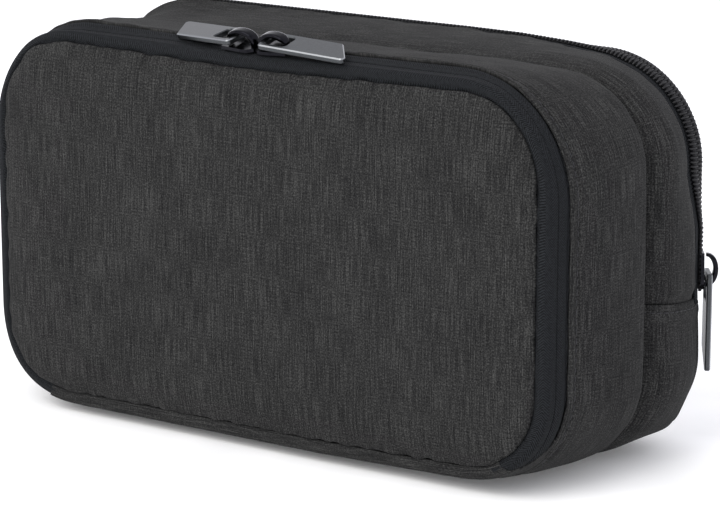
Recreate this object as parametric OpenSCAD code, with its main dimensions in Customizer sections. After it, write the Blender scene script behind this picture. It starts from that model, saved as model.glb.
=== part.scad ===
// Padded cable organizer pouch with two zipped compartments.
// X runs across the pouch, Y from the front (negative) to the back, Z up from the table.
// An outline is a rounded rectangle seen from the front: [half width, bottom, top, top radius, bottom radius].
// A band profile has points [u, y]: u outwards from an outline, y along the depth.

/* [Front compartment] */
// Width of the front zip seam
front_w = 220; // [200:1:240]
// Height of the front zip seam's top edge
front_top = 130; // [115:1:145]
// Height of the front zip seam's bottom edge
front_bottom = 2; // [1:0.5:3]
// Top corner radius of the front zip seam
front_top_r = 37; // [32:1:42]
// Bottom corner radius of the front zip seam
front_bottom_r = 33; // [29:1:37]
// Depth of the front gusset
front_d = 36.3; // [30:0.1:45]
// How far the front gusset swells between its seams
front_bulge = 3; // [2.5:0.1:4]

/* [Waist] */
// Width of the seam between the two compartments
waist_w = 230; // [212:1:246]
// Height of the waist seam's top edge
waist_top = 125.5; // [112:0.5:138]
// Height of the waist seam's bottom edge
waist_bottom = 0.5; // [0.3:0.1:0.8]
// Top corner radius of the waist seam
waist_top_r = 35; // [31:1:39]
// Bottom corner radius of the waist seam
waist_bottom_r = 33; // [29:1:37]
// Place of the waist seam's front face along the depth
waist_y = 4; // [3:0.5:5]
// Thickness of the divider panel that closes the waist
divider_t = 2; // [1.5:0.1:3]

/* [Rear compartment] */
// Width of the rear zip seam
rear_w = 232; // [214:1:248]
// Height of the rear zip seam's top edge
rear_top = 127.6; // [114:0.2:140]
// Height of the rear zip seam's bottom edge
rear_bottom = 0.6; // [0.3:0.1:1.2]
// Top corner radius of the rear zip seam
rear_top_r = 38; // [34:1:42]
// Bottom corner radius of the rear zip seam
rear_bottom_r = 34; // [30:1:38]
// Depth of the rear gusset
rear_d = 27.8; // [22:0.1:36]
// How far the rear gusset swells between its seams
rear_bulge = 2.4; // [2:0.1:3.4]
// Height of the side seam where the zip ends
side_seam_z = 50; // [42:0.5:51]
// Height of the fold line of the back flap
fold_z = 79; // [78:0.5:84]

/* [Fabric] */
// Thickness of the padded gusset wall
gusset_t = 2.6; // [2:0.1:3.2]
// Thickness of the lining fabric
lining_t = 0.6; // [0.4:0.1:1]
// Thickness of the woven cover fabric
cover_t = 1.2; // [0.8:0.1:1.6]
// Thickness of the foam in the panels
foam_t = 2.6; // [2:0.1:4]
// How far the panels crown past their edges
crown = 3; // [2:0.1:4]
// Width of the crowned border of the panels
crown_w = 14; // [10:1:20]
// Clearance between pieces that are sewn together
sewn_gap = 0.1; // [0.05:0.01:0.2]
// Clearance between pieces that move against each other
move_gap = 0.4; // [0.3:0.05:0.6]

// Width of the binding over the waist seam's inner edges
binding_w = 4; // [3:0.5:6]
// Thickness of that binding
binding_t = 1.2; // [0.8:0.1:1.6]

/* [Organizer] */
// Width of the organizer panel on the divider
organizer_w = 170; // [140:1:180]
// Height of the organizer panel
organizer_h = 84; // [70:1:90]
// Height of an elastic band
elastic_h = 22; // [15:1:28]
// Thickness of an elastic band
elastic_t = 1.4; // [1:0.1:2]
// Height of the mesh pocket on the lid
mesh_h = 74; // [60:1:80]
// Width of the mesh pocket on the lid
mesh_w = 168; // [140:1:176]
// Thickness of the mesh
mesh_t = 0.8; // [0.6:0.1:1.2]
// Side of one hole in the mesh
mesh_hole = 6; // [5:0.5:7]
// Width of the mesh cord between two holes
mesh_cord = 2.6; // [2:0.1:4]
// Height of the binding on the mesh pocket's top edge
mesh_hem_h = 10; // [8:1:14]
// Height of the slip pocket behind the divider
slip_h = 66; // [50:1:80]

/* [Zips] */
// Thickness of the zip tape
tape_t = 0.8; // [0.6:0.1:1]
// Slope of the front chain
front_tilt = 14; // [12:1:15]
// Distance from the front gusset to the front zip's centre line
front_chain = 4.8; // [4.6:0.1:5.2]
// Distance from the front gusset to the bend of the front band
front_flat = 8; // [7.8:0.1:8.4]
// Depth of the front zip band from the gusset to the lid seam
front_band_d = 8.6; // [8.4:0.1:10]
// How far the front zip band falls towards the lid seam
front_band_fall = 6.6; // [6.4:0.1:8]
// Angle down the bottom corners at which the front zip ends
front_zip_end = 54; // [45:1:55]
// Slope of the rear chain
rear_tilt = 34; // [28:1:38]
// Depth of the rear band's first bend
rear_bend_d = 2; // [1.6:0.1:2.4]
// How far the rear band falls to its first bend
rear_bend_fall = 0.4; // [0.2:0.1:0.6]
// Distance from the first bend to the rear zip's centre line
rear_chain = 4; // [3.8:0.1:4.4]
// Distance from the first bend to the rear band's second bend
rear_flat = 7.4; // [7.2:0.1:8]
// Depth of the rear zip band from the gusset to the back panel
rear_band_d = 11; // [10.4:0.1:12.5]
// How far the rear zip band falls towards the back panel
rear_band_fall = 8.6; // [7.8:0.1:10]
// Width of the open slit between the two tapes of a zip
slit_w = 1.6; // [1.5:0.1:2]
// Width of one half of the coil
coil_w = 1.8; // [1.6:0.1:2]
// Height of the coil
coil_h = 1.5; // [1.2:0.1:1.6]

/* [Sliders] */
// Length of a slider
slider_l = 11.8; // [10:0.1:13]
// Width of a slider at its shoulders
slider_w = 9; // [8:0.1:9.2]
// Width of a slider at its tail
slider_tail_w = 7; // [6:0.1:8]
// Thickness of a slider plate
slider_t = 1.1; // [0.9:0.1:1.4]
// Width of a slider's hidden lower plate
lower_plate_w = 6; // [5:0.1:6.2]
// Width of the post between the slider plates
post_w = 0.8; // [0.6:0.1:0.9]
// Clear height from the front tape to the slider's upper plate
front_lift = 0.8; // [0.8:0.1:1.8]
// Clear height from the rear tape to the slider's upper plate
rear_lift = 2.4; // [2:0.1:2.6]
// Place across the pouch where the front sliders meet
meet_x = 1.4; // [-20:0.2:20]
// Height of the rear slider's middle
rear_slider_z = 58.8; // [57:0.2:60]

/* [Pullers] */
// Length of a puller from its bar
puller_l = 32; // [28:1:36]
// Width of a puller
puller_w = 10.4; // [9.6:0.2:12]
// Thickness of a puller
puller_t = 1.8; // [1.4:0.1:2]
// Slant of the puller's tip
tip_slant = 7.5; // [3:0.5:9]
// Bevel along the puller's edges
bevel = 0.6; // [0.3:0.1:0.7]
// Width of the puller's bar inside the hook
bar_w = 1.8; // [1.4:0.1:2]
// Length of the puller's slot
slot_l = 7.5; // [7.2:0.1:8]
// Width of the puller's slot
slot_w = 6.8; // [6.2:0.1:7.2]
// Width of the hook's strip
hook_w = 3.4; // [2.8:0.1:3.6]
// Thickness of the hook's strip
hook_t = 1.4; // [1.2:0.1:1.6]
// Outer radius of the hook's bends
hook_r = 3.8; // [3.6:0.1:4]
// Half length of the hook's straight run
hook_run = 1.6; // [1.4:0.1:1.8]
// Height of the hook's middle over the slider
hook_rise = 0.9; // [0.8:0.1:1.4]
// Opening under the hook's free end
hook_gap = 1.1; // [0.8:0.1:1.4]
// Height of the puller's bar over the slider
bar_z = 1.7; // [1.6:0.1:1.9]
// Place of the left front puller's bar along its slider
left_bar_x = 1.6; // [1:0.1:1.8]
// Place of the right front puller's bar along its slider
right_bar_x = -2; // [-2.2:0.1:0]
// Place of the hanging puller's bar along its slider
rear_bar_x = -1.6; // [-1.7:0.1:-1]
// Swing of the left front puller towards the back
left_swing = 14; // [0:1:16]
// Dip of a front puller from the slider's face
puller_dip = 2; // [0:0.5:2]

/* [Hidden] */
$fn = 48;
corner_steps = 12;
depth_steps = 6;

fabric = "#3d3e41";
lining_grey = "#5b5d61";
tape_blue = "#20242c";
coil_black = "#17181a";
foam_grey = "#6d6f72";
gunmetal = "#55585c";
black_nickel = "#2a2b2d";

// Outlines of the three seams, and the depths at which they lie
front_seam = [front_w / 2, front_bottom, front_top, front_top_r, front_bottom_r];
waist_seam = [waist_w / 2, waist_bottom, waist_top, waist_top_r, waist_bottom_r];
rear_seam = [rear_w / 2, rear_bottom, rear_top, rear_top_r, rear_bottom_r];
divider_back_y = waist_y + divider_t;
front_seam_y = waist_y - sewn_gap - front_d;
rear_seam_y = divider_back_y + sewn_gap + rear_d;

// An outline moved inwards by d
function inset(o, d) = o + [-d, d, -d, -d, -d];

// A point at a distance down a slope from p, towards the front (-1) or the back (1)
function down(p, tilt, d, way) = p + d * [-sin(tilt), way * cos(tilt)];

// The zip bands run from the gusset seam over the chain to the panel seam
front_start = [0, front_seam_y - sewn_gap];
front_centre = down(front_start, front_tilt, front_chain, -1);
front_bend = down(front_start, front_tilt, front_flat, -1);
front_end = front_start - [front_band_fall, front_band_d];
rear_start = [0, rear_seam_y + sewn_gap];
rear_first = rear_start + [-rear_bend_fall, rear_bend_d];
rear_centre = down(rear_first, rear_tilt, rear_chain, 1);
rear_bend = down(rear_first, rear_tilt, rear_flat, 1);
rear_end = rear_start + [-rear_band_fall, rear_band_d];

// The two tapes of each zip, on either side of the slit
front_body_line = [front_start, down(front_centre, front_tilt, -slit_w / 2, -1)];
front_lid_line = [down(front_centre, front_tilt, slit_w / 2, -1), front_bend, front_end];
rear_gusset_line = [rear_start, rear_first, down(rear_centre, rear_tilt, -slit_w / 2, 1)];
rear_panel_line = [down(rear_centre, rear_tilt, slit_w / 2, 1), rear_bend, rear_end];

// The stretch of chain that one half of the coil covers, from the slit outwards
function coil_line(centre, tilt, way, side) = [
  down(centre, tilt, side * slit_w / 2, way),
  down(centre, tilt, side * (slit_w / 2 + coil_w), way)
];

// The lid fills the front band's inner edge, and the back panel the rear band's
lid_outline = inset(front_seam, front_band_fall + sewn_gap);
lid_edge_y = front_end[1];
back_outline = inset(rear_seam, rear_band_fall + sewn_gap);
back_edge_y = rear_end[1];
crown_r = (crown_w * crown_w + crown * crown) / (2 * crown);

// Steps along an outline count from 0 at the right end of the top right corner. Even steps are
// corners and odd steps are sides, counter-clockwise as seen from the front.
function side_share(o, z) = (o[2] - o[3] - z) / (o[2] - o[3] - o[1] - o[4]);
function right_at(o, z) = -side_share(o, z);
function left_at(o, z) = 3 + side_share(o, z);
zip_left = 4 + front_zip_end / 90;
zip_right = -1 - front_zip_end / 90;
strip_left = zip_left + sewn_gap / front_bottom_r;
strip_right = 8 + zip_right - sewn_gap / front_bottom_r;

function corner_r(o, k) = k < 2 ? o[3] : o[4];
function corner_at(o, k) = [
  (k == 0 || k == 3 ? 1 : -1) * (o[0] - corner_r(o, k)),
  k < 2 ? o[2] - o[3] : o[1] + o[4]
];

// A line of points moved sideways by t, to the left of its direction when t is positive
function left_normal(p, q) = [p[1] - q[1], q[0] - p[0]] / norm(q - p);
function moved(p, t) = [
  for (i = [0:len(p) - 1])
    let (
      n1 = left_normal(p[max(i - 1, 0)], p[max(i, 1)]),
      n2 = left_normal(p[min(i, len(p) - 2)], p[min(i + 1, len(p) - 1)])
    )
    p[i] + (n1 + n2) * t / (1 + n1 * n2)
];
function reversed(p) = [for (i = [len(p) - 1:-1:0]) p[i]];

// The same line with its last stretch made longer or shorter to end at u
function trimmed(p, u) =
  let (n = len(p) - 1, a = p[n - 1], b = p[n])
  concat([for (i = [0:n - 1]) p[i]], [a + (b - a) * (u - a[0]) / (b[0] - a[0])]);
function beside(p, t, cut) = cut ? trimmed(moved(p, t), p[len(p) - 1][0]) : moved(p, t);

// A strip of thickness t to the left of a line of points; cut makes its end run along the depth
module strip(p, t, cut = false) polygon(concat(p, reversed(beside(p, t, cut))));

// A profile carried along an outline from one step to another; a part of a corner grows from its whole end
module sweep(o, from, to)
  rotate([90, 0, 0])
    for (k = [floor(from):ceil(to) - 1]) {
      m = (k % 8 + 8) % 8;
      c = floor(m / 2);
      next = (c + 1) % 4;
      side = norm([for (i = [0, 1]) i == c % 2 ? corner_at(o, next)[i] - corner_at(o, c)[i] : 0]);
      a = max(from, k) - k;
      b = min(to, k + 1) - k;
      translate(corner_at(o, c))
        if (m % 2 == 0)
          rotate(90 * (a > 0 ? next : c))
            mirror([0, a > 0 ? 1 : 0])
              rotate_extrude(angle = 90 * (b - a))
                translate([corner_r(o, c), 0]) mirror([0, 1]) children();
        else
          rotate(90 * next)
            translate([corner_r(o, c), side * b])
              rotate([90, 0, 0])
                linear_extrude(side * (b - a))
                  mirror([0, 1]) children();
    }

// An outline as a flat shape, seen from the front
module face(o) {
  translate([-o[0], o[1] + o[4]]) square([2 * o[0], o[2] - o[3] - o[1] - o[4]]);
  translate([o[3] - o[0], o[2] - o[3]]) square([2 * (o[0] - o[3]), o[3]]);
  translate([o[4] - o[0], o[1]]) square([2 * (o[0] - o[4]), o[4]]);
  for (k = [0:3]) translate(corner_at(o, k)) circle(corner_r(o, k));
}

// A flat shape seen from the front, made solid between two depths
module upright(y1, y2)
  translate([0, max(y1, y2), 0]) rotate([90, 0, 0]) linear_extrude(abs(y2 - y1)) children();

// Points of an outline: the whole ring, the part over a side seam, or the part under it
function corner_points(o, k) = [
  for (i = [0:corner_steps])
    let (w = 90 * (k + i / corner_steps))
    corner_at(o, k) + corner_r(o, k) * [cos(w), sin(w)]
];
function ring_points(o) = [for (k = [0:3]) each corner_points(o, k)];
function upper_points(o, z) = concat([[o[0], z]], corner_points(o, 0), corner_points(o, 1), [[-o[0], z]]);
function lower_points(o, z) = concat([[-o[0], z]], corner_points(o, 2), corner_points(o, 3), [[o[0], z]]);

// Stations [outline, y] of a gusset that swells between two seams
function swollen(o, bulge, t) = inset(o, -4 * bulge * t * (1 - t));
function gusset_stations(o1, y1, o2, y2, bulge) = [
  for (j = [0:depth_steps])
    let (t = j / depth_steps)
    [swollen(o1 + (o2 - o1) * t, bulge, t), y1 + (y2 - y1) * t]
];

// The same stations moved inwards by t, square to the wall
function deeper(s, t, cut = false) =
  let (line = beside([for (p = s) [p[0][0], p[1]]], t, cut))
  [for (j = [0:len(s) - 1]) [inset(s[j][0], s[j][0][0] - line[j][0]), line[j][1]]];

// A wall between two lists of stations; rings holds the points of each station's outline
module wall(outer, inner, outer_rings, inner_rings, closed) {
  s = concat(outer, reversed(inner));
  rings = concat(outer_rings, reversed(inner_rings));
  n = len(rings[0]);
  m = len(s);
  points = [for (i = [0:n - 1]) for (j = [0:m - 1]) [rings[j][i][0], s[j][1], rings[j][i][1]]];
  sides = [
    for (i = [0:closed ? n - 1 : n - 2])
      for (j = [0:m - 1])
        let (p = i * m, q = (i + 1) % n * m, k = (j + 1) % m)
        each [[p + j, q + j, q + k], [p + j, q + k, p + k]]
  ];
  caps = closed ? [] : [[for (j = [0:m - 1]) j], [for (j = [m - 1:-1:0]) (n - 1) * m + j]];
  polyhedron(points, concat(sides, caps));
}

// The bottom is pressed flat by the table
module pressed_flat() difference() {
  children();
  translate([-front_w, -front_w, -front_w]) cube([2 * front_w, 2 * front_w, front_w]);
}

front_stations = gusset_stations(front_seam, front_seam_y, waist_seam, waist_y - sewn_gap, front_bulge);
rear_stations = gusset_stations(waist_seam, divider_back_y + sewn_gap, rear_seam, rear_seam_y, rear_bulge);
shoulder_stations = [
  for (p = [rear_first, rear_centre, rear_bend, rear_end]) [inset(rear_seam, -p[0]), p[1]]
];
lining_depth = gusset_t + sewn_gap;

// The back panel folds at one height: what is over it is the flap
fold_top = fold_z + move_gap / 2;
fold_low = fold_z - move_gap / 2;

module ring_wall(stations, t1, t2) {
  outer = deeper(stations, t1);
  inner = deeper(stations, t2);
  wall(outer, inner, [for (s = outer) ring_points(s[0])], [for (s = inner) ring_points(s[0])], true);
}

module front_gusset() color(fabric) pressed_flat() ring_wall(front_stations, 0, gusset_t);

module front_gusset_lining()
  color(lining_grey) ring_wall(front_stations, lining_depth, lining_depth + lining_t);

module rear_gusset_upper() color(fabric) {
  z = side_seam_z + sewn_gap / 2;
  inner = deeper(rear_stations, gusset_t);
  wall(rear_stations, inner, [for (s = rear_stations) upper_points(s[0], z)],
    [for (s = inner) upper_points(s[0], z)], false);
}

module rear_gusset_lower() color(fabric) pressed_flat() {
  z = side_seam_z - sewn_gap / 2;
  outer = concat(rear_stations, shoulder_stations);
  inner = deeper(outer, gusset_t, true);
  wall(outer, inner, [for (s = outer) lower_points(s[0], z)], [for (s = inner) lower_points(s[0], z)], false);
}

module rear_gusset_lining()
  color(lining_grey) ring_wall(rear_stations, lining_depth, lining_depth + lining_t);

module hinge_strip() color(fabric)
  sweep(front_seam, strip_left, strip_right)
    strip([front_start, front_bend, front_end + [move_gap, move_gap]], -cover_t, true);

// Zip tapes and the halves of the coils
module front_tape() color(tape_blue) sweep(front_seam, zip_right, zip_left) strip(front_body_line, -tape_t);

module lid_tape() color(tape_blue) sweep(front_seam, zip_right, zip_left) strip(front_lid_line, -tape_t, true);

module front_coil() color(coil_black)
  sweep(front_seam, zip_right, zip_left)
    strip(moved(coil_line(front_centre, front_tilt, -1, -1), tape_t + sewn_gap), coil_h);

module lid_coil() color(coil_black)
  sweep(front_seam, zip_right, zip_left)
    strip(moved(coil_line(front_centre, front_tilt, -1, 1), -tape_t - sewn_gap), -coil_h);

module rear_tape() color(tape_blue)
  sweep(rear_seam, right_at(rear_seam, side_seam_z), left_at(rear_seam, side_seam_z))
    strip(rear_gusset_line, tape_t);

module rear_coil() color(coil_black)
  sweep(rear_seam, right_at(rear_seam, side_seam_z), left_at(rear_seam, side_seam_z))
    strip(moved(coil_line(rear_centre, rear_tilt, 1, -1), sewn_gap), coil_h);

module panel_tape() strip(rear_panel_line, tape_t, true);

module panel_coil() strip(moved(coil_line(rear_centre, rear_tilt, 1, 1), -sewn_gap), -coil_h);

module above_fold() sweep(rear_seam, right_at(rear_seam, fold_top), left_at(rear_seam, fold_top)) children();

module below_fold() {
  sweep(rear_seam, right_at(rear_seam, side_seam_z), right_at(rear_seam, fold_low)) children();
  sweep(rear_seam, left_at(rear_seam, fold_low), left_at(rear_seam, side_seam_z)) children();
}

module flap_tape() color(tape_blue) above_fold() panel_tape();

module flap_coil() color(coil_black) above_fold() panel_coil();

module rear_tape_lower() color(tape_blue) below_fold() panel_tape();

module rear_coil_lower() color(coil_black) below_fold() panel_coil();

// The layers of a padded panel, by their distance v outwards from the panel's edge
module crowned(r)
  intersection() {
    translate([-crown_w, crown - crown_r]) circle(r, $fn = 96);
    translate([-crown_w, -foam_t]) square([crown_w, foam_t + crown]);
  }

module cover_border() {
  difference() {
    crowned(crown_r);
    crowned(crown_r - cover_t);
    translate([-crown_w, -foam_t]) square([crown_w, foam_t - cover_t]);
  }
  translate([-cover_t, -foam_t]) square([cover_t, foam_t - cover_t]);
}

module foam_border()
  intersection() {
    crowned(crown_r - cover_t - sewn_gap);
    translate([-crown_w, -foam_t]) square([crown_w - cover_t - sewn_gap, foam_t + crown]);
  }

module panel_cover(o, y, way) {
  sweep(o, 0, 8) translate([0, y]) scale_depth(way) cover_border();
  upright(y + way * (crown - cover_t), y + way * crown) face(inset(o, crown_w));
}

module panel_foam(o, y, way) {
  sweep(o, 0, 8) translate([0, y]) scale_depth(way) foam_border();
  upright(y - way * foam_t, y + way * (crown - cover_t - sewn_gap)) face(inset(o, crown_w));
}

module panel_lining(o, y, way)
  upright(y - way * (foam_t + sewn_gap), y - way * (foam_t + sewn_gap + lining_t)) face(inset(o, sewn_gap));

module scale_depth(way)
  if (way < 0) mirror([0, 1]) children();
  else children();

module lid_panel() color(fabric) panel_cover(lid_outline, lid_edge_y, -1);

module lid_foam() color(foam_grey) panel_foam(lid_outline, lid_edge_y, -1);

module lid_lining() color(lining_grey) panel_lining(lid_outline, lid_edge_y, -1);

module over_fold() intersection() {
  children();
  translate([-rear_w, 0, fold_top]) cube([2 * rear_w, rear_w, rear_top]);
}

module under_fold() difference() {
  children();
  translate([-rear_w, 0, fold_low]) cube([2 * rear_w, rear_w, rear_top]);
}

module back_panel() color(fabric) under_fold() panel_cover(back_outline, back_edge_y, 1);

module back_foam() color(foam_grey) under_fold() panel_foam(back_outline, back_edge_y, 1);

module back_lining() color(lining_grey) under_fold() panel_lining(back_outline, back_edge_y, 1);

module flap_panel() color(fabric) over_fold() panel_cover(back_outline, back_edge_y, 1);

module flap_foam() color(foam_grey) over_fold() panel_foam(back_outline, back_edge_y, 1);

module flap_lining() color(lining_grey) over_fold() panel_lining(back_outline, back_edge_y, 1);

// The divider, its bound seams and what is sewn to it
middle_z = (waist_top + waist_bottom) / 2;
binding_u = lining_depth + lining_t + sewn_gap;

module divider_panel() color(lining_grey) upright(waist_y, divider_back_y) face(waist_seam);

module binding(y) color(coil_black)
  sweep(waist_seam, 0, 8) translate([-binding_u - binding_w, y]) square([binding_w, binding_t]);

module front_seam_binding() binding(waist_y - sewn_gap - binding_t);

module rear_seam_binding() binding(divider_back_y + sewn_gap);

organizer_y = waist_y - sewn_gap;
elastic_y = organizer_y - lining_t - sewn_gap;

module patch(w, h, z) translate([-w / 2, z - h / 2]) square([w, h]);

module organizer_panel() color(lining_grey)
  upright(organizer_y - lining_t, organizer_y) patch(organizer_w, organizer_h, middle_z);

module elastic_band(z) color(coil_black)
  upright(elastic_y - elastic_t, elastic_y) patch(organizer_w - elastic_h / 2, elastic_h, z);

module elastic_band_upper() elastic_band(middle_z + organizer_h / 4);

module elastic_band_lower() elastic_band(middle_z - organizer_h / 4);

module rear_slip_pocket() color(lining_grey)
  upright(divider_back_y + sewn_gap, divider_back_y + sewn_gap + lining_t)
    patch(organizer_w, slip_h, middle_z - organizer_h / 2 + slip_h / 2);

// The mesh pocket on the back of the lid
mesh_y = lid_edge_y + foam_t + lining_t + 2 * sewn_gap;
mesh_step = mesh_hole + mesh_cord;
mesh_columns = floor((mesh_w - mesh_cord) / mesh_step);
mesh_rows = floor((mesh_h - mesh_cord) / mesh_step);
mesh_z = (lid_outline[1] + lid_outline[2]) / 2 - mesh_hem_h / 2;
hem_z = mesh_z + (mesh_h + mesh_hem_h) / 2 + sewn_gap;

module lid_mesh_pocket() color(coil_black)
  upright(mesh_y, mesh_y + mesh_t)
    difference() {
      patch(mesh_w, mesh_h, mesh_z);
      for (i = [0:mesh_columns - 1])
        for (j = [0:mesh_rows - 1])
          translate([(i - (mesh_columns - 1) / 2) * mesh_step, (j - (mesh_rows - 1) / 2) * mesh_step])
            patch(mesh_hole, mesh_hole, mesh_z);
    }

module lid_pocket_hem() color(coil_black) upright(mesh_y, mesh_y + elastic_t) patch(mesh_w, mesh_hem_h, hem_z);

// A slider in its own frame: x towards its tail, z out of the tape, origin on the chain's centre line
module slider_outline(w, tail_w)
  polygon([
    [-slider_l / 2, -w / 3], [-slider_l / 3, -w / 2], [-slider_l / 8, -w / 2], [slider_l / 2, -tail_w / 2],
    [slider_l / 2, tail_w / 2], [-slider_l / 8, w / 2], [-slider_l / 3, w / 2], [-slider_l / 2, w / 3]
  ]);

module slider(lift, depth) color(black_nickel) {
  translate([0, 0, lift]) linear_extrude(slider_t) slider_outline(slider_w, slider_tail_w);
  translate([0, 0, -depth - slider_t]) linear_extrude(slider_t) slider_outline(lower_plate_w, lower_plate_w);
  translate([-slider_l / 2 + slider_t, -post_w / 2, -depth]) cube([slider_l / 4, post_w, depth + lift]);
}

module loop_shape(r) {
  for (x = [-hook_run, hook_run]) translate([x, hook_rise]) circle(r);
  translate([-hook_run, hook_rise - r]) square([2 * hook_run, 2 * r]);
}

// The hook stands on the slider's nose end and is open over its tail end
module hook(lift) color(black_nickel)
  translate([0, hook_w / 2, lift + slider_t])
    rotate([90, 0, 0])
      linear_extrude(hook_w)
        difference() {
          loop_shape(hook_r);
          loop_shape(hook_r - hook_t);
          translate([-slider_l, -slider_l]) square([2 * slider_l, slider_l]);
          square([slider_l, hook_gap]);
        }

// A puller in its own frame: its bar along y at the origin, its plate towards x
module puller_outline(d)
  polygon([
    [d - bar_w / 2, d - puller_w / 2], [puller_l - d, d - puller_w / 2],
    [puller_l - tip_slant - d, puller_w / 2 - d], [d - bar_w / 2, puller_w / 2 - d]
  ]);

module puller() color(gunmetal)
  difference() {
    hull() {
      linear_extrude(puller_t - 2 * bevel, center = true) puller_outline(0);
      linear_extrude(puller_t, center = true) puller_outline(bevel);
    }
    translate([bar_w / 2, -slot_w / 2, -puller_t]) cube([slot_l, slot_w, 2 * puller_t]);
  }

// Where the sliders sit, in the pouch's frame
front_chain_z = front_top + front_centre[0];
front_depth = tape_t + coil_h + sewn_gap + move_gap;
rear_depth = tape_t + move_gap;
slider_space = slider_l / 2 + move_gap / 2;

module at_front_left()
  translate([meet_x - slider_space, front_centre[1], front_chain_z]) rotate([-front_tilt, 0, 180]) children();

module at_front_right()
  translate([meet_x + slider_space, front_centre[1], front_chain_z]) rotate([front_tilt, 0, 0]) children();

module at_rear()
  translate([rear_w / 2 + rear_centre[0], rear_centre[1], rear_slider_z])
    rotate([0, -90, 180 + rear_tilt]) children();

module front_puller(bar_x, swing)
  translate([bar_x, 0, front_lift + slider_t + bar_z]) rotate([0, puller_dip, swing]) puller();

module front_slider_left() at_front_left() slider(front_lift, front_depth);

module front_hook_left() at_front_left() hook(front_lift);

module front_puller_left() at_front_left() front_puller(left_bar_x, -left_swing);

module front_slider_right() at_front_right() slider(front_lift, front_depth);

module front_hook_right() at_front_right() hook(front_lift);

module front_puller_right() at_front_right() front_puller(right_bar_x, 0);

module rear_slider() at_rear() slider(rear_lift, rear_depth);

module rear_hook() at_rear() hook(rear_lift);

module rear_puller()
  at_rear() translate([rear_bar_x, 0, rear_lift + slider_t + bar_z]) rotate([0, 0, 180]) puller();

front_gusset();
front_gusset_lining();
hinge_strip();
front_tape();
front_coil();
divider_panel();
organizer_panel();
elastic_band_upper();
elastic_band_lower();
front_seam_binding();
rear_seam_binding();
rear_gusset_upper();
rear_gusset_lower();
rear_gusset_lining();
rear_tape();
rear_coil();
rear_tape_lower();
rear_coil_lower();
rear_slip_pocket();
back_panel();
back_foam();
back_lining();
lid_panel();
lid_foam();
lid_lining();
lid_tape();
lid_coil();
lid_mesh_pocket();
lid_pocket_hem();
flap_panel();
flap_foam();
flap_lining();
flap_tape();
flap_coil();
front_slider_left();
front_hook_left();
front_puller_left();
front_slider_right();
front_hook_right();
front_puller_right();
rear_slider();
rear_hook();
rear_puller();
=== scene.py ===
# %% [markdown]
# A soft cable organizer pouch: two padded compartments joined at a waist, a front lid held by a
# covered zip, and a back zip with an open coil. The rigid model is loaded first, as a fixed frame.
# Everything soft is then built again as cloth, and each new piece rides on a body of that frame.

import bpy
import numpy as np
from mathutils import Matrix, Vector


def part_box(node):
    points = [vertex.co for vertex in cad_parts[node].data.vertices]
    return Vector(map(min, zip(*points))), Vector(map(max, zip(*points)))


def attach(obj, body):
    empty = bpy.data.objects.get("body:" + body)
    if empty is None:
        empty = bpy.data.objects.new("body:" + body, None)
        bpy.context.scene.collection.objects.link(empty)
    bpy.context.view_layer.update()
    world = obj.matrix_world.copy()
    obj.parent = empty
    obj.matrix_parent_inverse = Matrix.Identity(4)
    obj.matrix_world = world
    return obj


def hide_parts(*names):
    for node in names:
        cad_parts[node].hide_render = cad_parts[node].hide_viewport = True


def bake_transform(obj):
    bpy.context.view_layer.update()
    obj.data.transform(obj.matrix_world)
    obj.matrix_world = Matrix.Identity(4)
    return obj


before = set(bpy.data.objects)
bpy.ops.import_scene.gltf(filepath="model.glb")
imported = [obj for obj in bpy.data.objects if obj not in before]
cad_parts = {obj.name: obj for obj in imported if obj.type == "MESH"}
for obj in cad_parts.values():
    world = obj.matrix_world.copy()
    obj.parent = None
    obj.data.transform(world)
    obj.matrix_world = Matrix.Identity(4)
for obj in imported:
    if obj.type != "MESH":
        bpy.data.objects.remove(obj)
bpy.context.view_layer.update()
MM = 0.001

# %% [markdown]
# Finishes come from nodes. One function turns a colour as it is seen on a screen (sRGB hex) into the
# linear numbers that a renderer works with, and one adds a node with its settings and its links. The
# others are patterns of a few nodes, with their sizes in millimetres on the real surface.

# %% Helpers for the finishes
def linear(code):
    """Linear RGBA of an sRGB hex colour: c / 12.92 near black, ((c + 0.055) / 1.055) ** 2.4 above."""
    c = np.array([int(code[i:i + 2], 16) for i in (1, 3, 5)]) / 255
    return (*np.where(c < 0.04045, c / 12.92, ((c + 0.055) / 1.055) ** 2.4), 1.0)


def add(tree, kind, settings=None, **links):
    """Adds a node; settings are its own values or socket values, links are sockets to read from."""
    node = tree.nodes.new(kind)
    for key, value in (settings or {}).items():
        if hasattr(node, key):
            setattr(node, key, value)
        else:
            node.inputs[int(key[1:]) if key[0] == "#" else key].default_value = value
    for key, source in links.items():
        socket = node.inputs[int(key[1:])] if key[0] == "_" else node.inputs[key.replace("_", " ")]
        tree.links.new(source, socket)
    return node


def finish_named(name, **sockets):
    """A new material and its tree, shader and cloth coordinates; sockets are set on the shader."""
    material = bpy.data.materials.new(name)
    material.use_nodes = True
    tree = material.node_tree
    shader = tree.nodes["Principled BSDF"]
    for key, value in sockets.items():
        shader.inputs[key.replace("_", " ")].default_value = value
    coords = add(tree, "ShaderNodeTexCoord")
    return material, tree, shader, coords


def dyed(tree, factor, stops):
    """Colours between (place, hex colour) stops, by a factor."""
    node = add(tree, "ShaderNodeValToRGB", Fac=factor)
    while len(node.color_ramp.elements) < len(stops):
        node.color_ramp.elements.new(0.5)
    for element, (place, code) in zip(node.color_ramp.elements, stops):
        element.position = place
        element.color = linear(code)
    return node.outputs["Color"]


def surfaced(tree, shader, colour, height, strength, depth_mm):
    """Gives the shader its colour, and a height as a relief about depth_mm deep."""
    bump = add(tree, "ShaderNodeBump", {"Strength": strength, "Distance": depth_mm * MM}, Height=height)
    tree.links.new(colour, shader.inputs["Base Color"])
    tree.links.new(bump.outputs["Normal"], shader.inputs["Normal"])


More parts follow.
